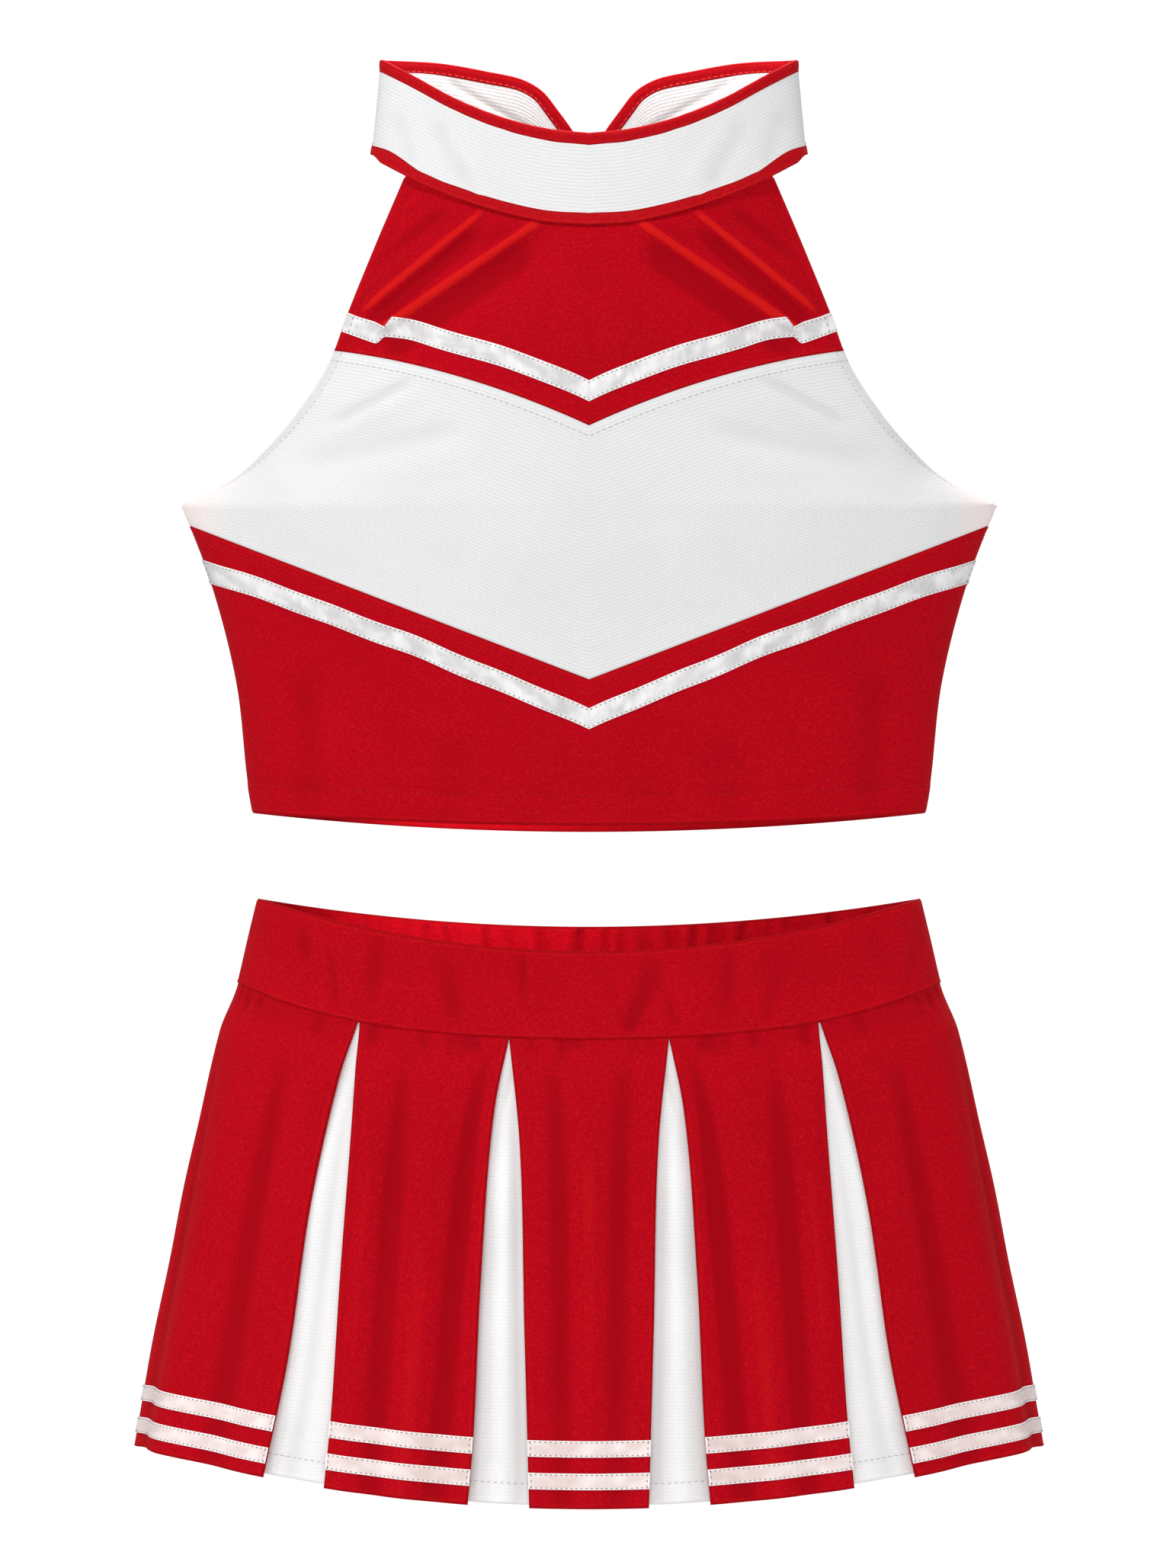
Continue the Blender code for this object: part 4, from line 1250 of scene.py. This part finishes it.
def seam_puckers(cloth, seed):
    """Short upright hollows below the waist seam."""
    draw = np.random.default_rng(seed)
    below = cloth.top - TUCK
    total = 0.0
    for _ in range(int(cloth.left[0, -1] * 100)):
        at, wide, long = draw.uniform(0.06, 0.94), draw.uniform(0.0018, 0.0032), draw.uniform(0.007, 0.020)
        aside = (cloth.across - at) * cloth.left[:, -1:]
        total = total + bell(aside / wide) * smooth(below / 0.002) * smooth(1 - below / long)
    return -0.7 * MM * np.minimum(total, 1.2)


def panel(name, kind, ends, wide, rises, seed):
    """A red panel with its two hem ribbons and their stitches."""
    cloth = patch(
        skirt_form, *ends, lambda a, x: gore_top(a, x) + TUCK, gore_hem,
        spaced(wide, 0.0020), spaced(0.23, 0.0026))
    tucked = 1 - smooth((cloth.top - TUCK) / SHOULDER)
    fold = smooth((0.004 - cloth.side) / 0.003)
    relief = panel_relief(cloth, kind, seed) + 0.15 * MM * fold
    relief = mix(relief, behind_waistband(cloth) - TUCK_DEPTH, tucked) + seam_puckers(cloth, seed + 300)
    thick = KNIT + (TURNED - KNIT) * np.maximum(fold, smooth((0.010 - cloth.bottom) / 0.001)) * (1 - tucked)
    made = piece("red_knit", name, RED_KNIT, cloth, relief, thick)
    declare(cloth)
    gore_bend(made)
    sewing = Thread(RIBBON_THREAD)
    for label, rise in zip(("lower", "upper"), rises):
        strip = patch(
            skirt_form, *ends,
            lambda a, x, rise=rise: gore_hem(a, x) + rise + SKIRT_RIBBON_WIDTH,
            lambda a, x, rise=rise: gore_hem(a, x) + rise,
            *ribbon_grid(wide, 0.0012, SKIRT_RIBBON_WIDTH, 0.0010))
        relief = panel_relief(strip, kind, seed) + puckers(strip, seed + 7, 110, 0.40 * MM)
        ribbon(f"{name}_{label}_ribbon", PINK_SATIN, strip, relief + RIBBON_LIFT + 0.15 * MM, name)
        sew_ribbon(sewing, strip, SKIRT_RIBBON_SEAM, SKIRT_RIBBON_END_SEAM, 0.00025)
    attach(sewing.done(f"{name}_stitches"), name)


def insert(name, ends, seed):
    """A white pleat insert, which hangs behind the edges of two panels and crowns forward between them."""
    cloth = patch(
        skirt_form, *ends, lambda a, x: gore_top(a, x) + INSERT_RAISED,
        lambda a, x: gore_hem(a, x) + INSERT_RAISED, spaced(0.07, 0.0020), spaced(0.22, 0.0028))
    drop = np.clip((SEAM_FRONT_Z - cloth.z) / 0.21, 0, 1)
    crown = 2.6 * MM * bell((cloth.across - 0.5) / 0.17) * smooth(drop * 3)
    side_fold = -0.9 * MM * bell((cloth.across - 0.36) / 0.05) * smooth(drop * 2)
    relief = down_skirt(cloth.z, INSERT_TOP_LIFT, INSERT_HEM_LIFT) + crown + side_fold
    relief = relief + uneven(cloth, seed, 0.045, 0.30 * MM) * smooth(drop * 3)
    at = cloth.reach[0].mean()
    relief = relief + crease(cloth, (at - 0.004, -0.425), (at + 0.004, -0.455), 0.0016, -0.7 * MM)
    relief = relief + turned_edge(cloth.bottom, INSERT_HEM, 0.15 * MM)
    tucked = 1 - smooth((cloth.top - INSERT_RAISED) / (SHOULDER + 0.002))
    relief = mix(relief, behind_waistband(cloth) - TUCK_DEPTH - KNIT - 0.3 * MM, tucked)
    made = piece("white_knit", name, INSERT_KNIT_PAINTED_LIGHT, cloth, relief, KNIT)
    declare(cloth)
    gore_bend(made)
    sewing = Thread(WHITE_THREAD)
    sewing.sew(*stitch_line(cloth, "bottom", INSERT_HEM, start=0.05, end=0.95))
    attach(sewing.done(f"{name}_stitches"), name)


def on_side(sign, *edges):
    """Edges that were given for +X, on the other side of the centre plane when sign is -1."""
    return edges if sign > 0 else tuple(lambda z, edge=edge: -edge(z) for edge in edges)


def skirt_panels():
    for back, place in ((False, "front"), (True, "back")):
        edge = pleat_angle(front_edge, back)
        ends = (edge, lambda z, edge=edge: 4 * QUARTER - edge(z)) if back else (*on_side(-1, edge), edge)
        panel(f"panel_{place}", "front", ends, 0.06, RIBBON_RISES, 71 + back)
        edges = pleat_angle(beside_inner, back), pleat_angle(beside_outer, back)
        for sign, side in SIDES:
            panel(f"panel_{place}_{side}", "beside", on_side(sign, *edges), 0.07, RIBBON_RISES, 75 + back)
    edges = pleat_angle(side_edge, False), pleat_angle(side_edge, True)
    for sign, side in SIDES:
        panel(f"panel_side_{side}", "side", on_side(sign, *edges), 0.22, SIDE_RIBBON_RISES, 79)


def skirt_inserts():
    pleats = (
        ("inner", (front_edge, -UNDERLAP_FRONT), (beside_inner, UNDERLAP_FRONT)),
        ("outer", (beside_outer, -UNDERLAP_FRONT), (side_edge, UNDERLAP_SIDE)),
    )
    for back, place in ((False, "front"), (True, "back")):
        for sign, side in SIDES:
            for seed, (label, *laps) in enumerate(pleats):
                edges = (pleat_angle(edge, back, lap) for edge, lap in laps)
                insert(f"insert_{place}_{side}_{label}", on_side(sign, *edges), 91 + seed)


# ---------------------------------------------------------------- stage

def stage():
    n = Nodes("floor_look")
    place = n.add("ShaderNodeTexCoord").outputs["Object"]
    tone = n.ramp(n.noise(place, 0.8, 2.0), 0.3, 0.7)
    n.paint((0.93, 0.93, 0.93), [(tone, (0.90, 0.90, 0.90))])
    n.constants(Roughness=0.9, Specular_IOR_Level=0.1)
    count = 96
    turns = 2 * math.pi * np.arange(count) / count
    points = np.stack([FLOOR_RADIUS * np.cos(turns), FLOOR_RADIUS * np.sin(turns), 0 * turns + FLOOR_Z], -1)
    floor = build("floor", n.material, points, [list(range(count))])


def camera():
    data = bpy.data.cameras.new("camera")
    data.lens, data.sensor_width = LENS, SENSOR
    data.clip_start, data.clip_end = 0.1, 200.0
    made = bpy.data.objects.new("camera", data)
    distance = FRAME_HEIGHT * LENS / SENSOR
    made.location = (CENTRE_X, REFERENCE_Y - distance, CENTRE_Z)
    made.rotation_euler = (QUARTER, 0.0, 0.0)
    bpy.context.scene.collection.objects.link(made)
    bpy.context.scene.camera = made


def softbox(name, place, size, power, target):
    """A square area light that faces a target point."""
    data = bpy.data.lights.new(name, "AREA")
    data.size, data.energy = size, power
    made = bpy.data.objects.new(name, data)
    aim = unit(np.array(target) - np.array(place))
    made.location = place
    made.rotation_euler = (math.acos(-aim[2]), 0.0, math.atan2(-aim[0], aim[1]))
    made.visible_camera = False
    bpy.context.scene.collection.objects.link(made)


def lights():
    for name, place, size, power, target in (
        ("key", (-0.5, -1.1, 1.7), 0.7, 18.0, MIDDLE),
        ("front_fill", (0.0, -2.6, -0.1), 1.2, 22.0, MIDDLE),
        ("left_fill", (-1.9, -0.5, 0.0), 0.9, 11.0, MIDDLE),
        ("right_fill", (1.9, -0.5, 0.0), 0.9, 7.0, MIDDLE),
        ("back_light", (0.3, 1.9, 1.0), 1.2, 22.0, MIDDLE),
        ("waist_light", (-0.06, -0.02, -0.345), 0.10, 0.11, (0.0, 0.07, -0.372)),
        ("neck_light", (0.0, 0.005, 0.14), 0.07, 0.45, (0.0, 0.060, 0.015)),
    ):
        softbox(name, place, size, power, target)
    world = bpy.data.worlds.new("studio")
    world.use_nodes = True
    tree = world.node_tree
    seen = tree.nodes.new("ShaderNodeLightPath").outputs["Is Camera Ray"]
    strength = tree.nodes.new("ShaderNodeMapRange")
    strength.inputs["To Min"].default_value = 0.46  # as a light
    strength.inputs["To Max"].default_value = 1.05  # as the white background
    background = tree.nodes["Background"]
    background.inputs["Color"].default_value = (1.0, 1.0, 1.0, 1.0)
    tree.links.new(seen, strength.inputs["Value"])
    tree.links.new(strength.outputs["Result"], background.inputs["Strength"])
    bpy.context.scene.world = world
    bpy.context.scene.view_settings.view_transform = "Standard"


def main():
    red, white = bodice_front()
    ribbons = Thread(RIBBON_THREAD)
    bodice_ribbons(ribbons)
    bodice_back(red, white, ribbons)
    collar_front(red)
    for sewing, label in ((red, "red"), (white, "white"), (ribbons, "ribbon")):
        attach(sewing.done(f"top_{label}_stitches"), "top")
    for sign, side in SIDES:
        collar_strap(sign, side)
    collar_closure()
    waistband()
    skirt_panels()
    skirt_inserts()
    stage()
    lights()
    camera()


main()
